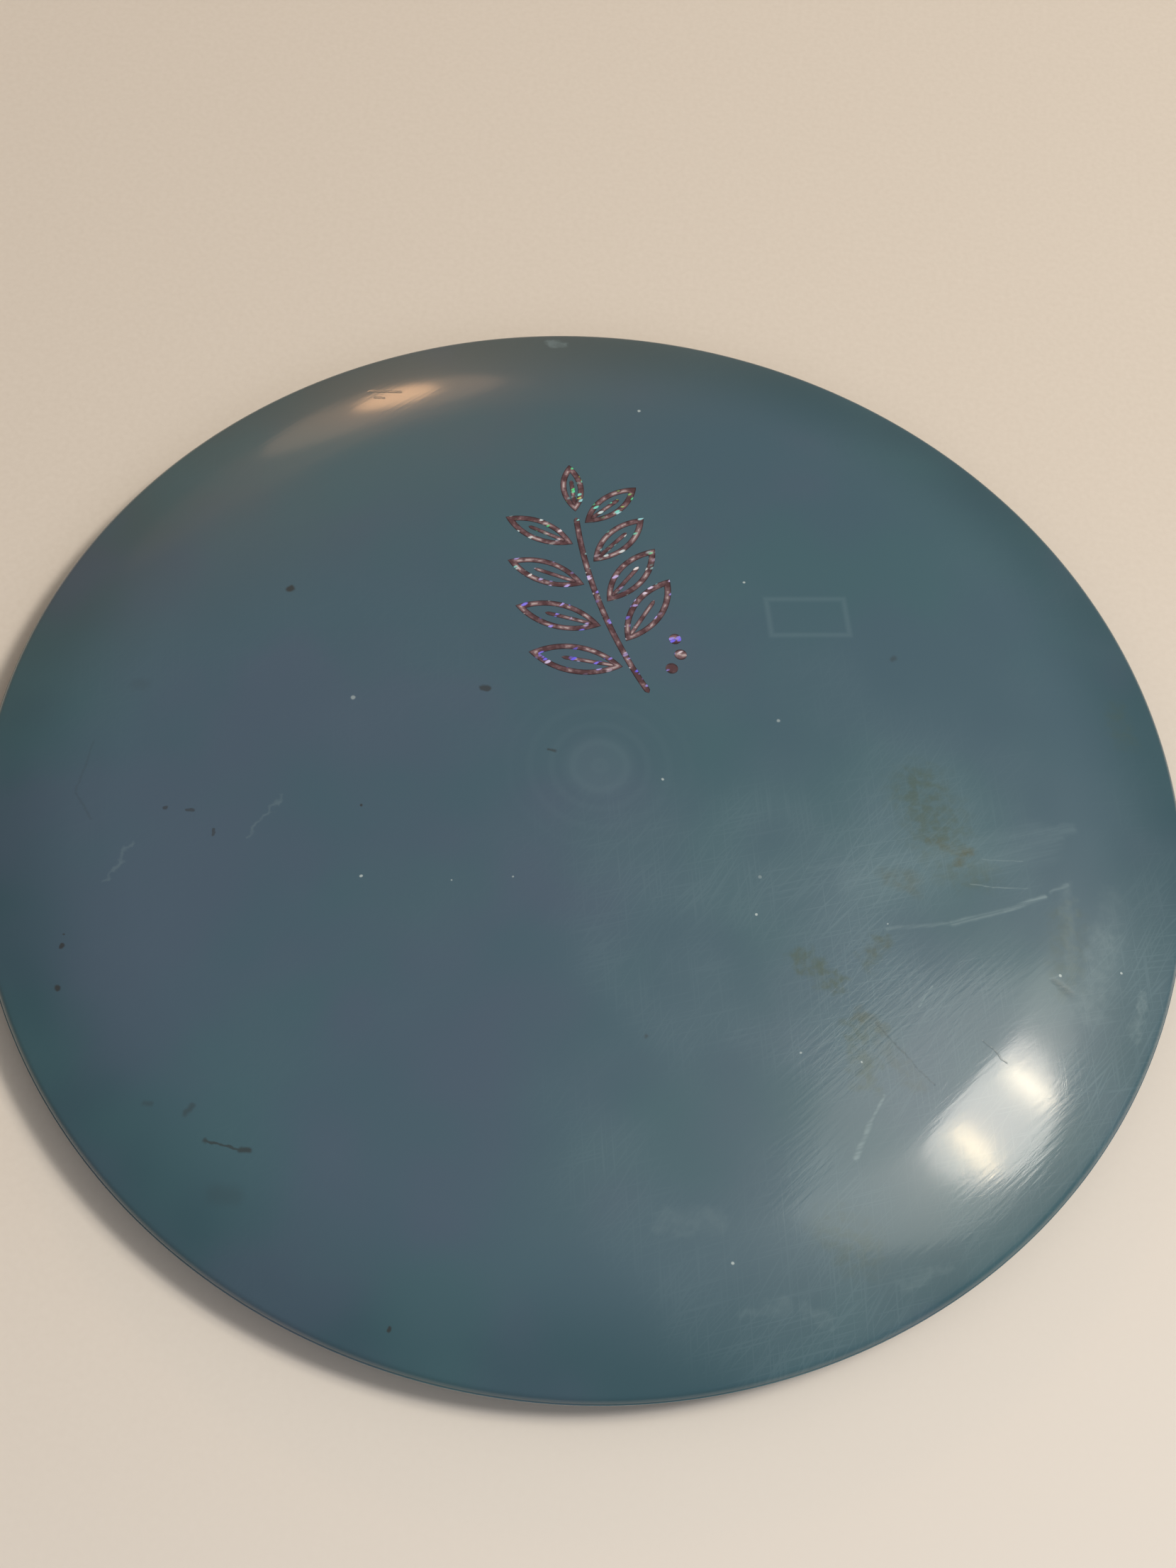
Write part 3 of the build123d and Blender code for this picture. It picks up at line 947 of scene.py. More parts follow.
# Places are set to the whole millimetre, counted from the disc's axis.
USE_MARKS = (
    Mark(OLIVE, (57, 4), 3.6, (60, -3), 0.8, 1.3),
    Mark(OLIVE, (62, -10), 2.0, (68, -10), 0.5, 1.3),
    Mark(OLIVE, (38, -31), 1.3, (44, -34), 1.0, 1.2),
    Mark(OLIVE, (51, -26), 1.2, (49, -29), 0.6, 1.4),
    Mark(OLIVE, (48, -41), 1.6, (50, -50), 0.7, 1.4),
    Mark(OLIVE, (83, -16), 2.2, (83, -26), 0.45, 1.4),
    Mark(OLIVE, (51, -77), 2.6, (47, -75), 0.45, 1.5),
    Mark(OLIVE, (94, 24), 1.6, (93, 29), 0.35, 1.4),
    Mark(RUST, (64, -8), 0.9, (65, -6), 1.0, 0.9),
    Mark(RUST, (59, -5), 0.9, (63, -6), 0.55, 1.2),
    Mark(RUST, (52, -13), 1.3, (56, -14), 0.50, 1.4),
    Mark(RUST, (51, -26), 0.9, (50, -27), 0.35, 1.3),
    Mark(RUST, (48, -39), 0.9, (52, -41), 0.50, 1.3),
    Mark(RUST, (53, -44), 1.2, (58, -49), 0.30, 1.4),
    Mark(SKID, (47, -15), 3.2, (78, -2), 0.34, 0.7),
    Mark(SKID, (38, -14), 0.35, (62, -7), 0.26, 1.8),
    Mark(SKID, (62, -7), 0.40, (84, 3), 0.50, 1.8),
    Mark(SKID, (52, -16), 0.45, (65, -9), 0.36, 1.8),
    Mark(SKID, (65, -9), 0.36, (82, 0), 0.46, 1.8),
    Mark(SKID, (75, -3), 0.50, (84, 2), 0.46, 1.8),
    # painted sheen: these three rubs draw the pale band down the right of the wing
    Mark(RUB_AND_SHEEN, (83, -10), 0.7, (84, -25), 0.40, 1.7),
    Mark(RUB_AND_SHEEN, (91, -10), 1.5, (90, -18), 0.25, 1.7),
    Mark(RUB_AND_SHEEN, (90, -18), 1.9, (87, -31), 0.65, 1.7),
    Mark(RUB_AND_SHEEN, (97, -26), 0.35, (96, -33), 0.75, 1.8),
    Mark(RUB_AND_SHEEN, (96, -31), 0.75, (96, -33), 0.55, 1.2),
    Mark(RUB_AND_SHEEN, (34, -89), 0.6, (40, -87), 0.28, 1.8),
    Mark(RUB_AND_SHEEN, (43, -87), 0.5, (47, -88), 0.34, 1.8),
    Mark(RUB_AND_SHEEN, (58, -81), 0.5, (65, -77), 0.30, 1.8),
    Mark(RUB_AND_SHEEN, (-19, 100), 0.7, (-17, 100), 1.0, 1.2),
    Mark(RUB_AND_SHEEN, (-52, -13), 0.22, (-56, -21), 0.50, 1.8),
    Mark(RUB_AND_SHEEN, (-75, -24), 0.22, (-78, -31), 0.50, 1.8),
    Mark(RUB_AND_SHEEN, (20, -77), 1.2, (28, -76), 0.30, 1.5),
    Mark(SCRATCH, (52, -23), 0.20, (63, -20), 0.40, 1.8),
    Mark(SCRATCH, (63, -20), 0.28, (72, -16), 0.65, 1.8),
    Mark(SCRATCH, (72, -16), 0.26, (79, -12), 0.95, 1.7),
    Mark(SCRATCH, (80, -11), 0.18, (83, -9), 0.45, 1.8),
    Mark(SCRATCH, (66, -12), 0.10, (70, -12), 0.80, 0.9),
    Mark(SCRATCH, (70, -12), 0.09, (76, -11), 0.60, 0.9),
    Mark(SCRATCH, (68, -7), 0.09, (75, -6), 0.35, 0.9),
    Mark(SCRATCH, (60, -32), 0.12, (58, -36), 0.65, 1.2),
    Mark(SCRATCH, (53, -52), 0.16, (51, -57), 0.75, 1.6),
    Mark(SCRATCH, (51, -57), 0.24, (49, -63), 0.80, 1.7),
    Mark(SCRATCH, (80, -27), 0.12, (82, -26), 0.85, 0.9),
    Mark(CUT, (81, -27), 0.34, (84, -29), 0.45, 1.8),
    Mark(CUT, (69, -40), 0.12, (73, -43), 0.8, 0.9),
    Mark(CUT, (51, -40), 0.10, (61, -49), 0.55, 0.9),
    Mark(CUT, (-52, 81), 0.24, (-46, 81), 1.0, 0.7),
    Mark(CUT, (-51, 79), 0.18, (-49, 79), 0.9, 0.9),
    Mark(CUT, (-86, -5), 0.14, (-87, -15), 0.40, 1.6),
    Mark(CUT, (-87, -15), 0.14, (-83, -20), 0.45, 1.6),
    Mark(DIRT, (-58, 30), 0.62),
    Mark(DIRT, (-21, 13), 0.50, (-20, 13), 0.85),
    Mark(DIRT, (-38, -13), 0.24),
    Mark(DIRT, (-71, -17), 0.32, None, 0.75),
    Mark(DIRT, (-67, -17), 0.26, (-66, -17), 0.70),
    Mark(DIRT, (-62, -21), 0.24, (-62, -20), 0.70),
    Mark(DIRT, (-83, -43), 0.36),
    Mark(DIRT, (-83, -41), 0.16, None, 0.8),
    Mark(DIRT, (-82, -50), 0.50),
    Mark(DIRT, (-64, -68), 0.30, (-63, -68), 0.35, 1.4),
    Mark(DIRT, (-57, -69), 0.30, (-56, -68), 0.50, 1.4),
    Mark(DIRT, (-53, -73), 0.34, None, 0.7, 1.0),
    Mark(DIRT, (-53, -73), 0.14, (-47, -74), 0.8),
    Mark(DIRT, (-47, -74), 0.40, (-46, -74), 0.85, 0.9),
    Mark(DIRT, (-50, -81), 1.00, (-47, -81), 0.18, 1.6),
    Mark(DIRT, (-81, 7), 0.80, (-80, 7), 0.14, 1.6),
    Mark(DIRT, (-20, -98), 0.34),
    Mark(DIRT, (14, -48), 0.24, None, 0.55, 1.2),
    Mark(DIRT, (51, 31), 0.34, None, 0.5, 1.4),
    Mark(DIRT, (-8, 2), 0.20, (-7, 2), 0.7, 1.2),
    Mark(GRAIN, (23, 43), 0.20),
    Mark(GRAIN, (0, 82), 0.24),
    Mark(GRAIN, (-43, 8), 0.34, None, 0.6),
    Mark(GRAIN, (-36, -26), 0.22),
    Mark(GRAIN, (-21, -25), 0.12, None, 0.7),
    Mark(GRAIN, (-11, -23), 0.14, None, 0.7),
    Mark(GRAIN, (12, -1), 0.20),
    Mark(GRAIN, (31, 14), 0.26, None, 0.6),
    Mark(GRAIN, (30, -17), 0.26, None, 0.35),
    Mark(GRAIN, (30, -24), 0.20),
    Mark(GRAIN, (52, -22), 0.13, None, 0.7),
    Mark(GRAIN, (39, -47), 0.16, None, 0.8),
    Mark(GRAIN, (49, -47), 0.14),
    Mark(GRAIN, (82, -26), 0.20),
    Mark(GRAIN, (93, -23), 0.18),
    Mark(GRAIN, (31, -82), 0.20),
)


def stroke_mask_group() -> Tree:
    """A shader group that is full on a round-ended stroke and falls to 0 over its soft edge.

    Returns:
        The group, with the point, both ends, the half widths in and out of its edge and its strength as inputs.
    """
    group = bpy.data.node_groups.new("stroke_mask", "ShaderNodeTree")
    for name in ("Point", "Start", "End"):
        group.interface.new_socket(name=name, in_out="INPUT", socket_type="NodeSocketVector")
    for name in ("Half Width", "Outside", "Strength"):
        group.interface.new_socket(name=name, in_out="INPUT", socket_type="NodeSocketFloat")
    group.interface.new_socket(name="Mask", in_out="OUTPUT", socket_type="NodeSocketFloat")
    given = add_node(group, "NodeGroupInput")
    point, start = given.outputs["Point"], given.outputs["Start"]
    out = add_node(group, "ShaderNodeVectorMath", {0: point, 1: start}, operation="SUBTRACT").outputs[0]
    run = add_node(group, "ShaderNodeVectorMath", {0: given.outputs["End"], 1: start}, operation="SUBTRACT").outputs[0]
    shadow = add_node(group, "ShaderNodeVectorMath", {0: out, 1: run}, operation="DOT_PRODUCT").outputs["Value"]
    length2 = add_node(group, "ShaderNodeVectorMath", {0: run, 1: run}, operation="DOT_PRODUCT").outputs["Value"]
    safe = add_node(group, "ShaderNodeMath", {0: length2, 1: 1e-4}, operation="MAXIMUM").outputs[0]
    ahead = add_node(group, "ShaderNodeMath", {0: shadow, 1: safe}, operation="DIVIDE").outputs[0]
    from_start = add_node(group, "ShaderNodeMath", {0: ahead, 1: 0.0}, operation="MAXIMUM").outputs[0]
    share = add_node(group, "ShaderNodeMath", {0: from_start, 1: 1.0}, operation="MINIMUM").outputs[0]
    foot = add_node(group, "ShaderNodeVectorMath", {0: run, "Scale": share}, operation="SCALE").outputs[0]
    distance = add_node(group, "ShaderNodeVectorMath", {0: out, 1: foot}, operation="DISTANCE").outputs["Value"]
    mask = add_node(
        group,
        "ShaderNodeMapRange",
        {
            "Value": distance,
            "From Min": given.outputs["Outside"],
            "From Max": given.outputs["Half Width"],
            "To Max": given.outputs["Strength"],
        },
        interpolation_type="SMOOTHSTEP",
    ).outputs[0]
    add_node(group, "NodeGroupOutput", {"Mask": mask})
    return group


@dataclass(frozen=True)
class MouldedPolyurethane:
    """Moulded thermoplastic polyurethane.

    The mould leaves a glossy skin over a slightly cloudy body, which gives sharp mirror images on a deep
    colour. Use dulls it to a soft, streaked haze in the quarter that lands first, where a pale colour over the worn
    patches also paints the haze round the lamps' mirror images. A painted warm reflection browns the far left edge.
    """

    section: DiscSection
    plate: str = "#3C5A6A"
    rim: str = "#2A4E5B"
    clouds: tuple[tuple[str, float, float], ...] = (("#4A556E", 120.0, 0.42), ("#376068", 440.0, 0.45))
    # pale dust on worn patches; over the worn quarter it is also a painted haze round the lamps' mirror images
    dust_and_haze: str = "#67828D"
    # painted warm reflection: the far left edge is browned as if it mirrored the warm lamps
    warm_reflection_tint: str = "#5F5B4E"
    ior: float = 1.50
    haze_roughness: float = 0.38
    gloss: float = 0.60
    gloss_roughness: float = 0.10
    cloud_size: float = 38.0
    grain_turn: float = 48.0
    grain_streak: Point2 = (7.0, 0.80)
    hairline_length: float = 16.0
    hairline_width: float = 0.34  # drawn wider than a real hairline so that it shows
    hairline_turns: tuple[float, ...] = (22.0, 52.0, 66.0, 100.0)
    skid_turn: float = 24.0
    skid_streak: Point2 = (14.0, 0.5)
    top_tilt: Point2 = (0.2, 0.5)  # the normal's Z where the upper face's marks begin, and where they are full
    # strength of the pale dust on worn patches, which is also the painted haze
    wear_and_haze_cover: float = 0.34
    worn_roughness: float = 0.10
    worn_relief: float = 0.022  # millimetres
    grain_relief: float = 0.006
    hairline_cover: float = 0.35
    hairline_depth: float = 0.0022
    # way, reach and strength of the painted warm reflection on the far left edge
    warm_reflection_way: Point2 = (-0.60, 0.80)
    warm_reflection_reach: Point2 = (48.0, 100.0)
    warm_reflection_cover: float = 0.36
    worn_middle: Point2 = (62.0, -42.0)
    worn_reach: Point2 = (84.0, 20.0)
    patch_scale: float = 0.028  # per millimetre
    gate_middle: Point2 = (1.0, 0.0)
    gate_blush: float = 0.11
    gate_rings: float = 0.06
    ghost_cover: float = 0.22
    gate_radius: float = 6.0
    ghost_place: Point2 = (35.0, 37.4)
    ghost_half_size: Point2 = (7.2, 4.0)
    ghost_turn: float = 11.0

    def build(self) -> bpy.types.Material:
        """Builds the plastic.

        Returns:
            The material.
        """
        material = bpy.data.materials.new("moulded_polyurethane")
        material.use_nodes = True
        tree = material.node_tree
        tree.nodes.clear()
        spot = self.point_in_mm(tree)
        flat = add_node(tree, "ShaderNodeVectorMath", {0: spot, 1: (1, 1, 0)}, operation="MULTIPLY").outputs[0]
        radius = add_node(tree, "ShaderNodeVectorMath", {0: flat}, operation="LENGTH").outputs["Value"]
        normal = add_node(tree, "ShaderNodeNewGeometry").outputs["Normal"]
        facing = add_node(tree, "ShaderNodeSeparateXYZ", {0: normal})
        top = add_node(
            tree,
            "ShaderNodeMapRange",
            {"Value": facing.outputs["Z"], "From Min": self.top_tilt[0], "From Max": self.top_tilt[1]},
            interpolation_type="SMOOTHSTEP",
        ).outputs[0]
        colour = self.moulded_colour(tree, spot, radius)
        colour = self.gate_and_ghost(tree, colour, flat, top)
        wear = self.wear_mask(tree, flat, top)
        hairlines = self.hairlines(tree, flat, wear)
        # pale dust on worn patches, which also paints the haze round the lamps' mirror images
        colour = self.blend(tree, colour, self.dust_and_haze, wear, self.wear_and_haze_cover)
        colour = self.blend(tree, colour, self.dust_and_haze, hairlines, self.hairline_cover)
        colour, relief = self.use_marks(tree, colour, flat, top)
        lined = add_node(
            tree,
            "ShaderNodeMapping",
            {"Vector": flat, "Rotation": (0, 0, math.radians(self.grain_turn)), "Scale": (*self.grain_streak, 1)},
            vector_type="TEXTURE",
        ).outputs[0]
        grain = add_node(tree, "ShaderNodeTexNoise", {"Vector": lined, "Scale": 1.0, "Detail": 3.0}).outputs[0]
        coarse = add_node(
            tree, "ShaderNodeMath", {0: wear, 1: self.worn_relief, 2: self.grain_relief}, operation="MULTIPLY_ADD"
        ).outputs[0]
        grain_height = add_node(tree, "ShaderNodeMath", {0: grain, 1: coarse, 2: relief}, operation="MULTIPLY_ADD")
        height = add_node(
            tree,
            "ShaderNodeMath",
            {0: hairlines, 1: -self.hairline_depth, 2: grain_height.outputs[0]},
            operation="MULTIPLY_ADD",
        ).outputs[0]
        bump = add_node(tree, "ShaderNodeBump", {"Strength": 1.0, "Distance": MM, "Height": height}).outputs[0]
        roughness = add_node(
            tree,
            "ShaderNodeMath",
            {0: wear, 1: self.worn_roughness, 2: self.haze_roughness},
            operation="MULTIPLY_ADD",
        ).outputs[0]
        shader = add_node(
            tree,
            "ShaderNodeBsdfPrincipled",
            {
                "Base Color": colour,
                "Roughness": roughness,
                "IOR": self.ior,
                "Coat Weight": self.gloss,
                "Coat Roughness": self.gloss_roughness,
                "Coat IOR": self.ior,
                "Normal": bump,
                "Coat Normal": bump,
            },
        ).outputs[0]
        add_node(tree, "ShaderNodeOutputMaterial", {"Surface": shader})
        return material

    @staticmethod
    def point_in_mm(tree: Tree) -> Socket:
        """Object coordinates in millimetres."""
        place = add_node(tree, "ShaderNodeTexCoord").outputs["Object"]
        return add_node(tree, "ShaderNodeVectorMath", {0: place, "Scale": 1 / MM}, operation="SCALE").outputs[0]

    @staticmethod
    def blend(
        tree: Tree,
        under: Socket,
        over: str | Socket,
        mask: Socket,
        strength: float,
    ) -> Socket:
        """Lays a colour over another where a mask says so.

        Args:
            tree: the material's tree.
            under: the colour below.
            over: hex colour, or a colour socket.
            mask: where it goes.
            strength: how much of it at a full mask.

        Returns:
            The blended colour.
        """
        share = add_node(tree, "ShaderNodeMath", {0: mask, 1: strength}, operation="MULTIPLY")
        mix = add_node(tree, "ShaderNodeMix", data_type="RGBA")
        tree.links.new(share.outputs[0], mix.inputs[0])
        tree.links.new(under, mix.inputs[6])
        if isinstance(over, str):
            mix.inputs[7].default_value = linear(over)
        else:
            tree.links.new(over, mix.inputs[7])
        return mix.outputs[2]

    def moulded_colour(self, tree: Tree, spot: Socket, radius: Socket) -> Socket:
        """The plastic's colour: greyer on the plate, deeper teal in the thick wing, faintly clouded, with a painted
        warm reflection that browns the far left edge.

        Args:
            tree: the material's tree.
            spot: the point in millimetres.
            radius: its distance from the axis.

        Returns:
            The colour.
        """
        deep = add_node(
            tree,
            "ShaderNodeMapRange",
            {
                "Value": radius,
                "From Min": self.section.shoulder_radius + 2,
                "From Max": self.section.outer_radius - 2,
            },
            interpolation_type="SMOOTHSTEP",
        ).outputs[0]
        plate = add_node(tree, "ShaderNodeRGB")
        plate.outputs[0].default_value = linear(self.plate)
        colour = self.blend(tree, plate.outputs[0], self.rim, deep, 1.0)
        # painted warm reflection: a brown tint that grows towards the far left edge
        way = (*self.warm_reflection_way, 0)
        far = add_node(tree, "ShaderNodeVectorMath", {0: spot, 1: way}, operation="DOT_PRODUCT").outputs["Value"]
        warm_reflection = add_node(
            tree,
            "ShaderNodeMapRange",
            {"Value": far, "From Min": self.warm_reflection_reach[0], "From Max": self.warm_reflection_reach[1]},
            interpolation_type="SMOOTHSTEP",
        ).outputs[0]
        colour = self.blend(tree, colour, self.warm_reflection_tint, warm_reflection, self.warm_reflection_cover)
        for tint, shift, cover in self.clouds:
            shifted = add_node(tree, "ShaderNodeVectorMath", {0: spot, 1: (shift, 0, 0)}, operation="ADD").outputs[0]
            cloud = add_node(
                tree, "ShaderNodeTexNoise", {"Vector": shifted, "Scale": 1 / self.cloud_size, "Detail": 2.0}
            ).outputs[0]
            mask = add_node(
                tree,
                "ShaderNodeMapRange",
                {"Value": cloud, "From Min": 0.45, "From Max": 0.70},
                interpolation_type="SMOOTHSTEP",
            ).outputs[0]
            colour = self.blend(tree, colour, tint, mask, cover)
        return colour

    def gate_and_ghost(self, tree: Tree, colour: Socket, flat: Socket, top: Socket) -> Socket:
        """The pale blush over the gate with its rings, and the insert's edge showing through the plate.

        Args:
            tree: the material's tree.
            colour: the plastic's colour so far.
            flat: the point in plan, in millimetres.
            top: 1 on the upper face.

        Returns:
            The colour with both.
        """
        middle = (*self.gate_middle, 0.0)
        distance = add_node(tree, "ShaderNodeVectorMath", {0: flat, 1: middle}, operation="DISTANCE").outputs["Value"]
        blush = add_node(
            tree,
            "ShaderNodeMapRange",
            {"Value": distance, "From Min": self.gate_radius + 1.2, "From Max": self.gate_radius - 1.5},
            interpolation_type="SMOOTHSTEP",
        ).outputs[0]
        wave = add_node(tree, "ShaderNodeMath", {0: distance, 1: 1.7}, operation="MULTIPLY").outputs[0]
        ripple = add_node(tree, "ShaderNodeMath", {0: wave}, operation="SINE").outputs[0]
        fade = add_node(
            tree,
            "ShaderNodeMapRange",
            {"Value": distance, "From Min": 22.0, "From Max": 5.0},
            interpolation_type="SMOOTHSTEP",
        ).outputs[0]
        crest = add_node(tree, "ShaderNodeMath", {0: ripple, 1: 0.0}, operation="MAXIMUM").outputs[0]
        rings = add_node(tree, "ShaderNodeMath", {0: crest, 1: fade}, operation="MULTIPLY").outputs[0]
        turn = add_node(
            tree,
            "ShaderNodeMapping",
            {"Vector": flat, "Location": (*self.ghost_place, 0), "Rotation": (0, 0, math.radians(self.ghost_turn))},
            vector_type="TEXTURE",
        ).outputs[0]
        near = add_node(tree, "ShaderNodeVectorMath", {0: turn}, operation="ABSOLUTE").outputs[0]
        inside = add_node(tree, "ShaderNodeVectorMath", {0: near, 1: (*self.ghost_half_size, 0)}, operation="SUBTRACT")
        sides = add_node(tree, "ShaderNodeSeparateXYZ", {0: inside.outputs[0]})
        edge = add_node(tree, "ShaderNodeMath", {0: sides.outputs["X"], 1: sides.outputs["Y"]}, operation="MAXIMUM")
        off = add_node(tree, "ShaderNodeMath", {0: edge.outputs[0]}, operation="ABSOLUTE").outputs[0]
        ghost = add_node(
            tree,
            "ShaderNodeMapRange",
            {"Value": off, "From Min": 0.9, "From Max": 0.0},
            interpolation_type="SMOOTHSTEP",
        ).outputs[0]
        for mask, cover in ((blush, self.gate_blush), (rings, self.gate_rings), (ghost, self.ghost_cover)):
            on_top = add_node(tree, "ShaderNodeMath", {0: mask, 1: top}, operation="MULTIPLY").outputs[0]
            colour = self.blend(tree, colour, self.dust_and_haze, on_top, cover)
        return colour

    def wear_mask(self, tree: Tree, flat: Socket, top: Socket) -> Socket:
        """Where the skin is dulled: patches everywhere, and most in the quarter that lands first.

        Args:
            tree: the material's tree.
            flat: the point in plan, in millimetres.
            top: 1 on the upper face.

        Returns:
            The mask, from 0 to 1.
        """
        patch = add_node(tree, "ShaderNodeTexNoise", {"Vector": flat, "Scale": self.patch_scale, "Detail": 2.0})
        spread = add_node(
            tree,
            "ShaderNodeMapRange",
            {"Value": patch.outputs[0], "From Min": 0.35, "From Max": 0.75},
            interpolation_type="SMOOTHSTEP",
        ).outputs[0]
        middle = (*self.worn_middle, 0)
        away = add_node(tree, "ShaderNodeVectorMath", {0: flat, 1: middle}, operation="DISTANCE").outputs["Value"]
        quarter = add_node(
            tree,
            "ShaderNodeMapRange",
            {
                "Value": away,
                "From Min": self.worn_reach[0],
                "From Max": self.worn_reach[1],
                "To Min": 0.10,
                "To Max": 1.0,
            },
            interpolation_type="SMOOTHSTEP",
        ).outputs[0]
        worn = add_node(tree, "ShaderNodeMath", {0: spread, 1: quarter}, operation="MULTIPLY").outputs[0]
        return add_node(tree, "ShaderNodeMath", {0: worn, 1: top}, operation="MULTIPLY").outputs[0]

    def hairlines(self, tree: Tree, flat: Socket, wear: Socket) -> Socket:
        """Fine crossing scratches, thickest where the skin is worn.

        Args:
            tree: the material's tree.
            flat: the point in plan, in millimetres.
            wear: how worn the skin is.

        Returns:
            The mask, from 0 to 1.
        """
        total = None
        for turn in self.hairline_turns:
            lined = add_node(
                tree,
                "ShaderNodeMapping",
                {
                    "Vector": flat,
                    "Rotation": (0, 0, math.radians(turn)),
                    "Scale": (self.hairline_length, self.hairline_width, 1),
                },
                vector_type="TEXTURE",
            ).outputs[0]
            noise = add_node(tree, "ShaderNodeTexNoise", {"Vector": lined, "Scale": 1.0, "Detail": 1.0}).outputs[0]
            line = add_node(
                tree,
                "ShaderNodeMapRange",
                {"Value": noise, "From Min": 0.555, "From Max": 0.70},
                interpolation_type="SMOOTHSTEP",
            ).outputs[0]
            total = line if total is None else add_node(
                tree, "ShaderNodeMath", {0: total, 1: line}, operation="MAXIMUM"
            ).outputs[0]
        return add_node(tree, "ShaderNodeMath", {0: total, 1: wear}, operation="MULTIPLY").outputs[0]

    def use_marks(self, tree: Tree, colour: Socket, flat: Socket, top: Socket) -> tuple[Socket, Socket]:
        """Lays every stain, scratch, speck and grain over the plastic, and the painted sheen band on the right of the
        wing.

        Args:
            tree: the material's tree.
            colour: the plastic's colour so far.
            flat: the point in plan, in millimetres.
            top: 1 on the upper face.

        Returns:
            The marked colour, and the marks' relief in millimetres.
        """
        group = stroke_mask_group()
        wobble = add_node(tree, "ShaderNodeTexNoise", {"Vector": flat, "Scale": 0.45, "Detail": 3.0}).outputs["Color"]
        half = (0.5, 0.5, 0.5)
        centred = add_node(tree, "ShaderNodeVectorMath", {0: wobble, 1: half}, operation="SUBTRACT").outputs[0]
        blotch = add_node(tree, "ShaderNodeTexNoise", {"Vector": flat, "Scale": 0.55, "Detail": 4.0}).outputs[0]
        lined = add_node(
            tree,
            "ShaderNodeMapping",
            {"Vector": flat, "Rotation": (0, 0, math.radians(self.skid_turn)), "Scale": (*self.skid_streak, 1)},
            vector_type="TEXTURE",
        ).outputs[0]
        streak = add_node(tree, "ShaderNodeTexNoise", {"Vector": lined, "Scale": 1.0, "Detail": 3.0}).outputs[0]
        relief = None
        for kind in MarkKind:
            look = kind.value
            sway = (look.sway, look.sway, 0)
            moved = add_node(tree, "ShaderNodeVectorMath", {0: centred, 1: sway, 2: flat}, operation="MULTIPLY_ADD")
            total = None
            for mark in (m for m in USE_MARKS if m.kind is kind):
                inputs = {
                    "Point": moved.outputs[0],
                    "Start": (*mark.start, 0),
                    "End": (*(mark.end or mark.start), 0),
                    "Half Width": mark.half_width * (1 - 0.5 * min(mark.blur, 1.6)),
                    "Outside": mark.half_width * (1 + mark.blur),
                    "Strength": mark.strength,
                }
                mask = add_node(tree, "ShaderNodeGroup", inputs, node_tree=group).outputs[0]
                total = mask if total is None else add_node(
                    tree, "ShaderNodeMath", {0: total, 1: mask}, operation="MAXIMUM"
                ).outputs[0]
            whole = add_node(
                tree,
                "ShaderNodeMapRange",
                {
                    "Value": blotch if kind in (OLIVE, RUST, RUB_AND_SHEEN) else streak,
                    "From Min": 0.38,
                    "From Max": 0.62,
                    "To Min": 1 - look.broken,
                    "To Max": 1.0,
                },
                interpolation_type="SMOOTHSTEP",
            ).outputs[0]
            patchy = add_node(tree, "ShaderNodeMath", {0: total, 1: whole}, operation="MULTIPLY").outputs[0]
            on_top = add_node(tree, "ShaderNodeMath", {0: patchy, 1: top}, operation="MULTIPLY").outputs[0]
            colour = self.blend(tree, colour, look.colour, on_top, look.cover)
            if look.depth:
                values = {0: on_top, 1: -look.depth, 2: 0.0 if relief is None else relief}
                relief = add_node(tree, "ShaderNodeMath", values, operation="MULTIPLY_ADD").outputs[0]
        return colour, relief


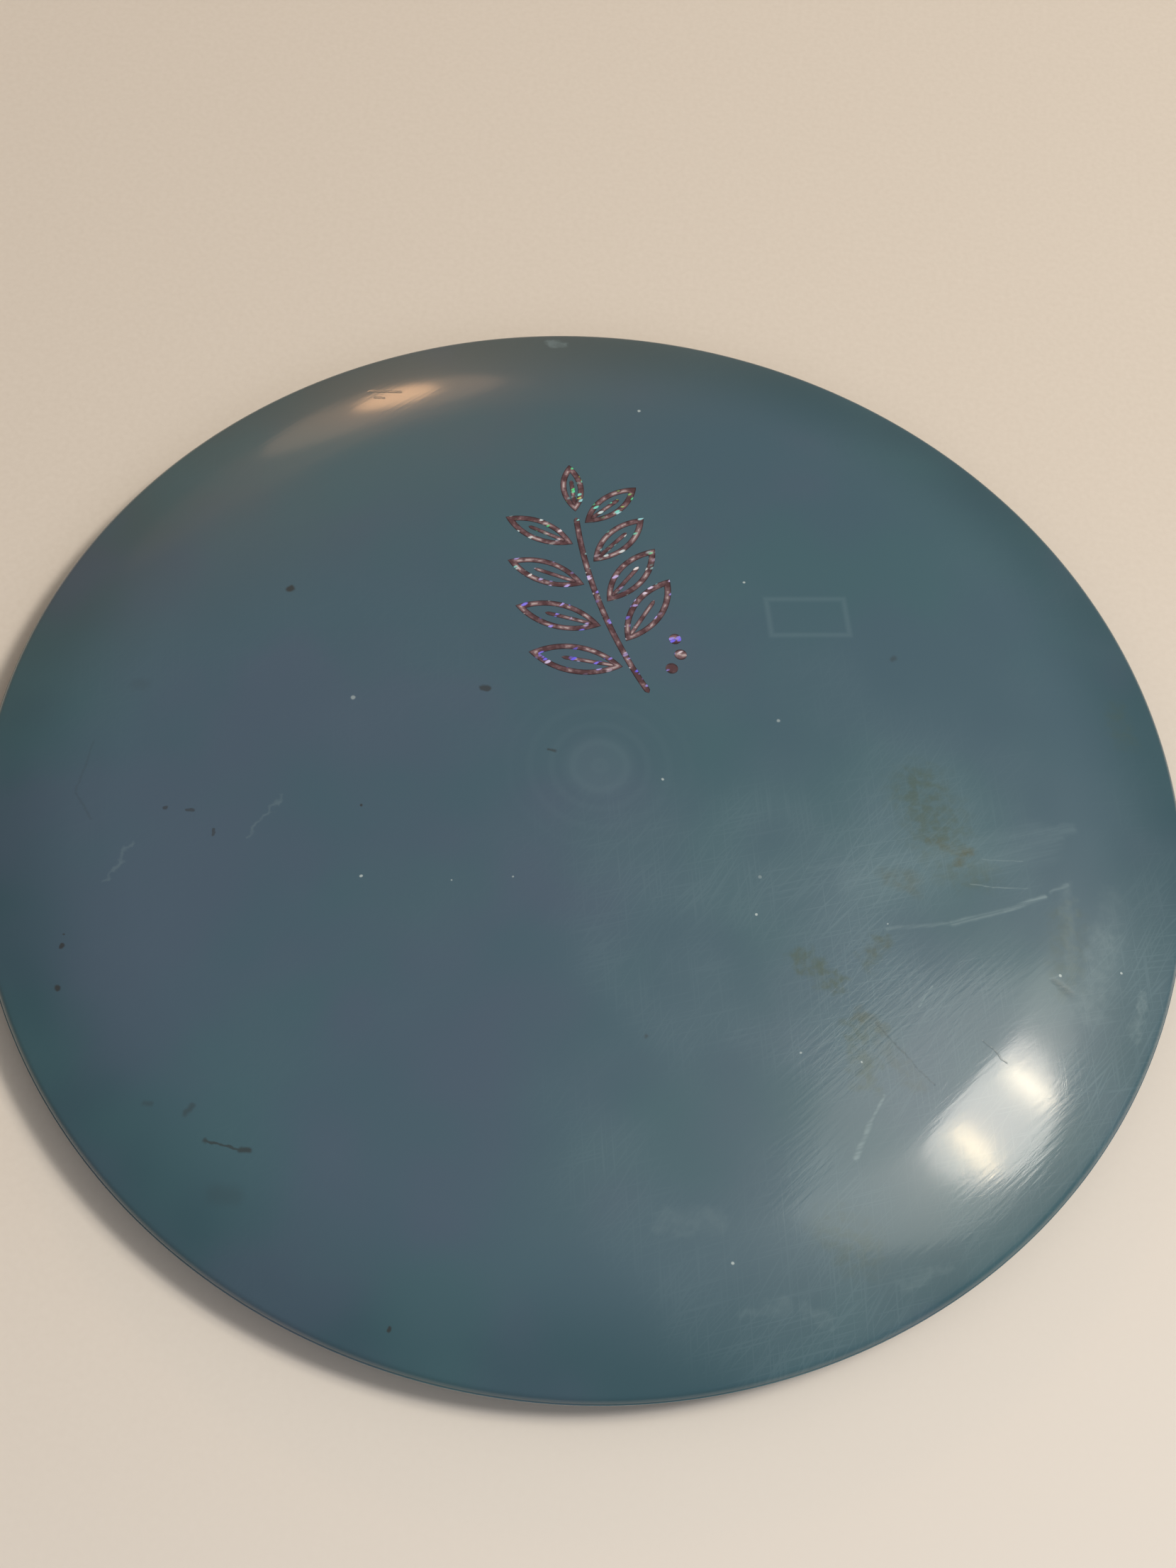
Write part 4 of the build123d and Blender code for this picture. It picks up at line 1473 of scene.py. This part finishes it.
@dataclass(frozen=True)
class HolographicFilm:
    """Hot-stamped holographic film on a rose metal carrier.

    The die rolls its edges, which get painted shade, and a painted highlight runs along the middle of each stroke in
    patches. Its fine grating breaks the light into slanting flecks: green at the far end, cyan, pinkish white, and
    violet at the near end.
    """

    rose: str = "#A0828A"
    dark_rose: str = "#6A4E54"
    # painted shade along the rolled edges of each stroke
    outline: str = "#3B2C31"
    # painted highlight down the middle of a stroke
    painted_highlight: str = "#EADADD"
    fleck_length: float = 1.45
    fleck_width: float = 0.62
    fleck_turn: float = 38.0
    crinkle_size: float = 1.7
    roughness: float = 0.34
    spectrum: tuple[tuple[float, str], ...] = (
        (0.00, "#F0E4EA"),
        (0.16, "#6F66FF"),
        (0.34, "#B7A6F6"),
        (0.48, "#F2E6EA"),
        (0.64, "#8EDDE8"),
        (0.82, "#4BF08E"),
        (1.00, "#E6F06A"),
    )

    def build(self) -> bpy.types.Material:
        """Builds the film.

        Returns:
            The material.
        """
        material = bpy.data.materials.new("holographic_film")
        material.use_nodes = True
        tree = material.node_tree
        tree.nodes.clear()
        blend = MouldedPolyurethane.blend
        spot = MouldedPolyurethane.point_in_mm(tree)
        lined = add_node(
            tree,
            "ShaderNodeMapping",
            {
                "Vector": spot,
                "Rotation": (0, 0, math.radians(self.fleck_turn)),
                "Scale": (self.fleck_length, self.fleck_width, 100.0),
            },
            vector_type="TEXTURE",
        ).outputs[0]
        cells = add_node(tree, "ShaderNodeTexVoronoi", {"Vector": lined, "Scale": 1.0, "Randomness": 0.85})
        random = add_node(tree, "ShaderNodeSeparateColor", {0: cells.outputs["Color"]})
        crinkle = add_node(
            tree, "ShaderNodeTexNoise", {"Vector": spot, "Scale": 1 / self.crinkle_size, "Detail": 2.0}
        ).outputs[0]
        shade = add_node(
            tree,
            "ShaderNodeMapRange",
            {"Value": crinkle, "From Min": 0.38, "From Max": 0.62},
            interpolation_type="SMOOTHSTEP",
        ).outputs[0]
        dark = add_node(tree, "ShaderNodeRGB")
        dark.outputs[0].default_value = linear(self.dark_rose)
        metal = blend(tree, dark.outputs[0], self.rose, shade, 0.9)
        across = add_node(tree, "ShaderNodeAttribute", attribute_name=ACROSS).outputs["Fac"]
        off = add_node(tree, "ShaderNodeMath", {0: across, 1: 0.5}, operation="SUBTRACT").outputs[0]
        side = add_node(tree, "ShaderNodeMath", {0: off}, operation="ABSOLUTE").outputs[0]
        # painted shade: the stroke darkens towards both edges
        edge = add_node(
            tree,
            "ShaderNodeMapRange",
            {"Value": side, "From Min": 0.26, "From Max": 0.46},
            interpolation_type="SMOOTHSTEP",
        ).outputs[0]
        metal = blend(tree, metal, self.outline, edge, 0.75)
        # painted highlight: a pale streak down the middle of the stroke where the crinkle is high
        middle = add_node(
            tree,
            "ShaderNodeMapRange",
            {"Value": side, "From Min": 0.22, "From Max": 0.06},
            interpolation_type="SMOOTHSTEP",
        ).outputs[0]
        highlight_patch = add_node(
            tree,
            "ShaderNodeMapRange",
            {"Value": crinkle, "From Min": 0.52, "From Max": 0.66},
            interpolation_type="SMOOTHSTEP",
        ).outputs[0]
        streak = add_node(tree, "ShaderNodeMath", {0: middle, 1: highlight_patch}, operation="MULTIPLY").outputs[0]
        metal = blend(tree, metal, self.painted_highlight, streak, 0.9)
        place = add_node(tree, "ShaderNodeSeparateXYZ", {0: spot})
        drift = add_node(
            tree, "ShaderNodeMath", {0: random.outputs[2], 1: 24.0, 2: place.outputs["Y"]}, operation="MULTIPLY_ADD"
        ).outputs[0]
        hue = add_node(tree, "ShaderNodeMapRange", {"Value": drift, "From Min": 20.0, "From Max": 84.0}).outputs[0]
        ramp = add_node(tree, "ShaderNodeValToRGB", {0: hue})
        ramp.color_ramp.elements.remove(ramp.color_ramp.elements[0])
        ramp.color_ramp.elements[0].position, tint = self.spectrum[0]
        ramp.color_ramp.elements[0].color = linear(tint)
        for position, tint in self.spectrum[1:]:
            ramp.color_ramp.elements.new(position).color = linear(tint)
        core = add_node(
            tree,
            "ShaderNodeMapRange",
            {"Value": cells.outputs["Distance"], "From Min": 0.62, "From Max": 0.30},
            interpolation_type="SMOOTHSTEP",
        ).outputs[0]
        chosen = add_node(
            tree, "ShaderNodeMapRange", {"Value": random.outputs[0], "From Min": 0.76, "From Max": 0.84}
        ).outputs[0]
        lit = add_node(tree, "ShaderNodeMath", {0: chosen, 1: core}, operation="MULTIPLY").outputs[0]
        colour = blend(tree, metal, ramp.outputs[0], lit, 1.0)
        metallic = add_node(tree, "ShaderNodeMapRange", {"Value": lit, "To Min": 0.62, "To Max": 0.10}).outputs[0]
        tilt = add_node(tree, "ShaderNodeMath", {0: crinkle, 1: 0.05}, operation="MULTIPLY").outputs[0]
        bump = add_node(tree, "ShaderNodeBump", {"Strength": 1.0, "Distance": MM, "Height": tilt}).outputs[0]
        shader = add_node(
            tree,
            "ShaderNodeBsdfPrincipled",
            {"Base Color": colour, "Metallic": metallic, "Roughness": self.roughness, "Normal": bump},
        ).outputs[0]
        add_node(tree, "ShaderNodeOutputMaterial", {"Surface": shader})
        return material


@dataclass(frozen=True)
class PaleTop:
    """Matt painted board of the table top: pale, with a fine even roller texture, and painted light that makes it
    lighter and greyer towards the near right.
    """

    colour: str = "#DED4C9"
    # painted light: the lighter tint towards the near right
    speckle: str = "#D5CABE"
    painted_light_tint: str = "#E3DDD7"
    far_glow: str = "#B3AA9C"  # light that the table sends out far from the disc, so that it meets the pale backdrop
    glow_start: float = 450.0
    glow_full: float = 2400.0

    def build(self) -> bpy.types.Material:
        """Builds the board's paint.

        Returns:
            The material.
        """
        material = bpy.data.materials.new("matt_painted_board")
        material.use_nodes = True
        tree = material.node_tree
        tree.nodes.clear()
        spot = MouldedPolyurethane.point_in_mm(tree)
        noise = add_node(tree, "ShaderNodeTexNoise", {"Vector": spot, "Scale": 0.9, "Detail": 2.0}).outputs[0]
        mix = add_node(tree, "ShaderNodeMix", data_type="RGBA")
        tree.links.new(noise, mix.inputs[0])
        mix.inputs[6].default_value = linear(self.colour)
        mix.inputs[7].default_value = linear(self.speckle)
        # painted light: blend towards the lighter tint on the near right
        along = add_node(tree, "ShaderNodeVectorMath", {0: spot, 1: (0.45, -0.89, 0)}, operation="DOT_PRODUCT")
        near = add_node(
            tree,
            "ShaderNodeMapRange",
            {"Value": along.outputs["Value"], "From Min": -60.0, "From Max": 190.0},
            interpolation_type="SMOOTHSTEP",
        ).outputs[0]
        colour = MouldedPolyurethane.blend(tree, mix.outputs[2], self.painted_light_tint, near, 1.0)
        away = add_node(tree, "ShaderNodeVectorMath", {0: spot}, operation="LENGTH").outputs["Value"]
        glow = add_node(
            tree,
            "ShaderNodeMapRange",
            {"Value": away, "From Min": self.glow_start, "From Max": self.glow_full},
            interpolation_type="SMOOTHSTEP",
        ).outputs[0]
        shader = add_node(
            tree,
            "ShaderNodeBsdfPrincipled",
            {
                "Base Color": colour,
                "Roughness": 0.65,
                "Emission Color": linear(self.far_glow),
                "Emission Strength": glow,
            },
        ).outputs[0]
        add_node(tree, "ShaderNodeOutputMaterial", {"Surface": shader})
        return material


# ---- table, camera and lights -----------------------------------------------------------------
@dataclass(frozen=True)
class ViewPoint:
    """Where the camera stands: above the near edge, tilted a little to one side."""

    aim: tuple[float, float, float] = (-0.6, 6.4, 0.0)
    distance: float = 381.0
    elevation: float = 60.4
    roll: float = 7.3
    lens: float = 48.5

    @property
    def place(self) -> Vector:
        """The camera's place, in metres."""
        rise = math.radians(self.elevation)
        return (Vector(self.aim) + Vector((0, -math.cos(rise), math.sin(rise))) * self.distance) * MM

    def build(self) -> bpy.types.Object:
        """Makes the camera and gives it to the scene.

        Returns:
            The camera.
        """
        rise, roll = math.radians(self.elevation), math.radians(self.roll)
        back = Vector((0, -math.cos(rise), math.sin(rise)))
        level, up = Vector((1, 0, 0)), Vector((0, math.sin(rise), math.cos(rise)))
        right = level * math.cos(roll) + up * math.sin(roll)
        above = up * math.cos(roll) - level * math.sin(roll)
        camera = show(bpy.data.objects.new("camera", bpy.data.cameras.new("camera")))
        camera.data.lens = self.lens
        camera.data.clip_start, camera.data.clip_end = 0.01, 50.0
        turn = Matrix((right, above, back)).transposed().to_4x4()
        camera.matrix_world = Matrix.Translation(self.place) @ turn
        bpy.context.scene.camera = camera
        return camera


@dataclass(frozen=True)
class MirrorLamp:
    """A lamp placed so that its mirror image lies at a chosen spot of the wing."""

    name: str
    radius: float  # of the spot, from the disc's axis
    turn: float  # degrees from +X
    reach: float  # length of the image along the radius
    width: float  # width of the lamp, in degrees as the disc sees it
    strength: float  # radiance
    colour: str
    distance: float = 1.3  # metres

    def mirror(self, section: DiscSection, eye: Vector, radius: float) -> tuple[Vector, Vector]:
        """Where the disc sends the eye's line of sight from a spot.

        Args:
            section: the disc's section.
            eye: the camera's place in metres.
            radius: the spot's distance from the axis.

        Returns:
            The spot in metres, and the direction that its gloss mirrors to the eye.
        """
        point, normal = section.face_at(radius, math.radians(self.turn))
        sight = (eye - point).normalized()
        return point, normal * (2 * normal.dot(sight)) - sight

    def build(self, section: DiscSection, eye: Vector) -> bpy.types.Object:
        """Makes the lamp.

        Args:
            section: the disc's section.
            eye: the camera's place in metres.

        Returns:
            The light.
        """
        _, near = self.mirror(section, eye, self.radius - self.reach / 2)
        _, far = self.mirror(section, eye, self.radius + self.reach / 2)
        point, middle = self.mirror(section, eye, self.radius)
        length = (far - near).length * self.distance
        width = math.radians(self.width) * self.distance
        data = bpy.data.lights.new(self.name, "AREA")
        data.shape = "ELLIPSE"
        data.size, data.size_y = length, width
        data.energy = self.strength * math.pi * length * width * math.pi / 4
        data.color = linear(self.colour)[:3]
        light = show(bpy.data.objects.new(self.name, data))
        along = (far - near).normalized()
        across = middle.cross(along).normalized()
        along = across.cross(middle).normalized()
        turn = Matrix((along, across, middle)).transposed().to_4x4()
        if turn.determinant() < 0:
            turn = Matrix((along, -across, middle)).transposed().to_4x4()
        light.matrix_world = Matrix.Translation(point + middle * self.distance) @ turn
        return light


@dataclass(frozen=True)
class Studio:
    """The pale table, the soft light over it and the lamps that the gloss mirrors."""

    section: DiscSection
    view: ViewPoint
    floor_radius: float = 6.0  # metres
    horizon: str = "#CDBDA8"
    zenith: str = "#FFFBF6"
    ambient: float = 0.35
    backdrop: str = "#DACFC1"
    key_place: tuple[float, float, float] = (1.10, 0.02, 1.65)
    key_width: float = 0.34
    key_radiance: float = 37.5
    fill_place: tuple[float, float, float] = (0.35, -0.75, 0.6)
    fill_width: float = 0.6
    fill_radiance: float = 1.5
    lamps: tuple[MirrorLamp, ...] = (
        MirrorLamp("tube_near", 90.0, -40.4, 11.5, 1.2, 43.0, "#FFE2AC"),
        MirrorLamp("tube_far", 90.0, -31.0, 11.5, 1.2, 45.0, "#FFECC8"),
        MirrorLamp("ceiling_glow", 88.5, -36.0, 15.5, 13.0, 13.0, "#FFF8EE"),
        MirrorLamp("ceiling_wash", 85.0, -40.0, 36.0, 28.0, 2.5, "#F6FAEE"),
        MirrorLamp("warm_lamp", 92.5, 120.5, 5.0, 6.0, 13.2, "#FFC48E"),
        MirrorLamp("warm_shade", 91.5, 123.0, 9.0, 18.0, 1.8, "#FFCBA2"),
        MirrorLamp("warm_wall", 90.0, 133.0, 12.0, 34.0, 0.26, "#FFC29A"),
    )

    def floor(self) -> bpy.types.Object:
        """Makes the wide round table top under the disc.

        Returns:
            The table top.
        """
        mesh = bpy.data.meshes.new("table_top")
        work = bmesh.new()
        bmesh.ops.create_circle(work, cap_ends=True, segments=96, radius=self.floor_radius)
        work.to_mesh(mesh)
        work.free()
        mesh.materials.append(PaleTop().build())
        return show(bpy.data.objects.new("table_top", mesh))

    def sky(self) -> None:
        """Soft light all round, brightest overhead, in front of a plain pale backdrop."""
        world = bpy.data.worlds.new("soft_room")
        world.use_nodes = True
        tree = world.node_tree
        tree.nodes.clear()
        direction = add_node(tree, "ShaderNodeTexCoord").outputs["Generated"]
        height = add_node(tree, "ShaderNodeSeparateXYZ", {0: direction}).outputs["Z"]
        share = add_node(tree, "ShaderNodeMapRange", {"Value": height, "From Min": 0.0, "From Max": 1.0}).outputs[0]
        mix = add_node(tree, "ShaderNodeMix", data_type="RGBA")
        tree.links.new(share, mix.inputs[0])
        mix.inputs[6].default_value = linear(self.horizon)
        mix.inputs[7].default_value = linear(self.zenith)
        glow = add_node(tree, "ShaderNodeBackground", {"Color": mix.outputs[2], "Strength": self.ambient}).outputs[0]
        plain = add_node(tree, "ShaderNodeBackground", {"Color": linear(self.backdrop), "Strength": 1.0}).outputs[0]
        seen = add_node(tree, "ShaderNodeLightPath").outputs["Is Camera Ray"]
        both = add_node(tree, "ShaderNodeMixShader", {0: seen, 1: glow, 2: plain}).outputs[0]
        add_node(tree, "ShaderNodeOutputWorld", {"Surface": both})
        bpy.context.scene.world = world

    def soft_light(self, name: str, place: Vector, width: float, radiance: float, colour: str) -> bpy.types.Object:
        """A round softbox that lights the scene but leaves the mirror images to the lamps.

        Args:
            name: the light's name.
            place: where it hangs, in metres, turned to the disc.
            width: its width in metres.
            radiance: how bright its face is.
            colour: its hex colour.

        Returns:
            The light.
        """
        data = bpy.data.lights.new(name, "AREA")
        data.shape = "DISK"
        data.size = width
        data.energy = radiance * math.pi * math.pi * width**2 / 4
        data.color = linear(colour)[:3]
        light = show(bpy.data.objects.new(name, data))
        light.location = place
        light.rotation_mode = "QUATERNION"
        light.rotation_quaternion = (-place).to_track_quat("-Z", "Y")
        light.visible_glossy = False
        return light

    def build(self) -> bpy.types.Object:
        """Sets the table, sky, camera and lights.

        Returns:
            The table top.
        """
        self.view.build()
        self.sky()
        self.soft_light("key", Vector(self.key_place), self.key_width, self.key_radiance, "#FFFAF5")
        self.soft_light("fill", Vector(self.fill_place), self.fill_width, self.fill_radiance, "#E9F1FF")
        for lamp in self.lamps:
            lamp.build(self.section, self.view.place)
        bpy.context.scene.view_settings.view_transform = "Standard"
        return self.floor()


def main() -> None:
    """Builds the disc, its foil and the studio, and ties each piece to the frame."""
    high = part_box(BODY_NODE)[1]
    section = DiscSection(outer_radius=high[0] / MM, centre_height=high[2] / MM)
    plastic = MouldedPolyurethane(section).build()
    film = HolographicFilm().build()
    body = Moulding(section).build(plastic)
    stands_for = {BODY_NODE: body, **FoilSprig(FoilPress(section), film).build()}
    for node, piece in stands_for.items():
        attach(piece, ROOT)
        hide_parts(node)
        log.info("%s stands for %s with %d faces", piece.name, node, len(piece.data.polygons))
    Studio(section, ViewPoint()).build()


if __name__ == "__main__":
    logging.basicConfig(level=logging.INFO)
    main()
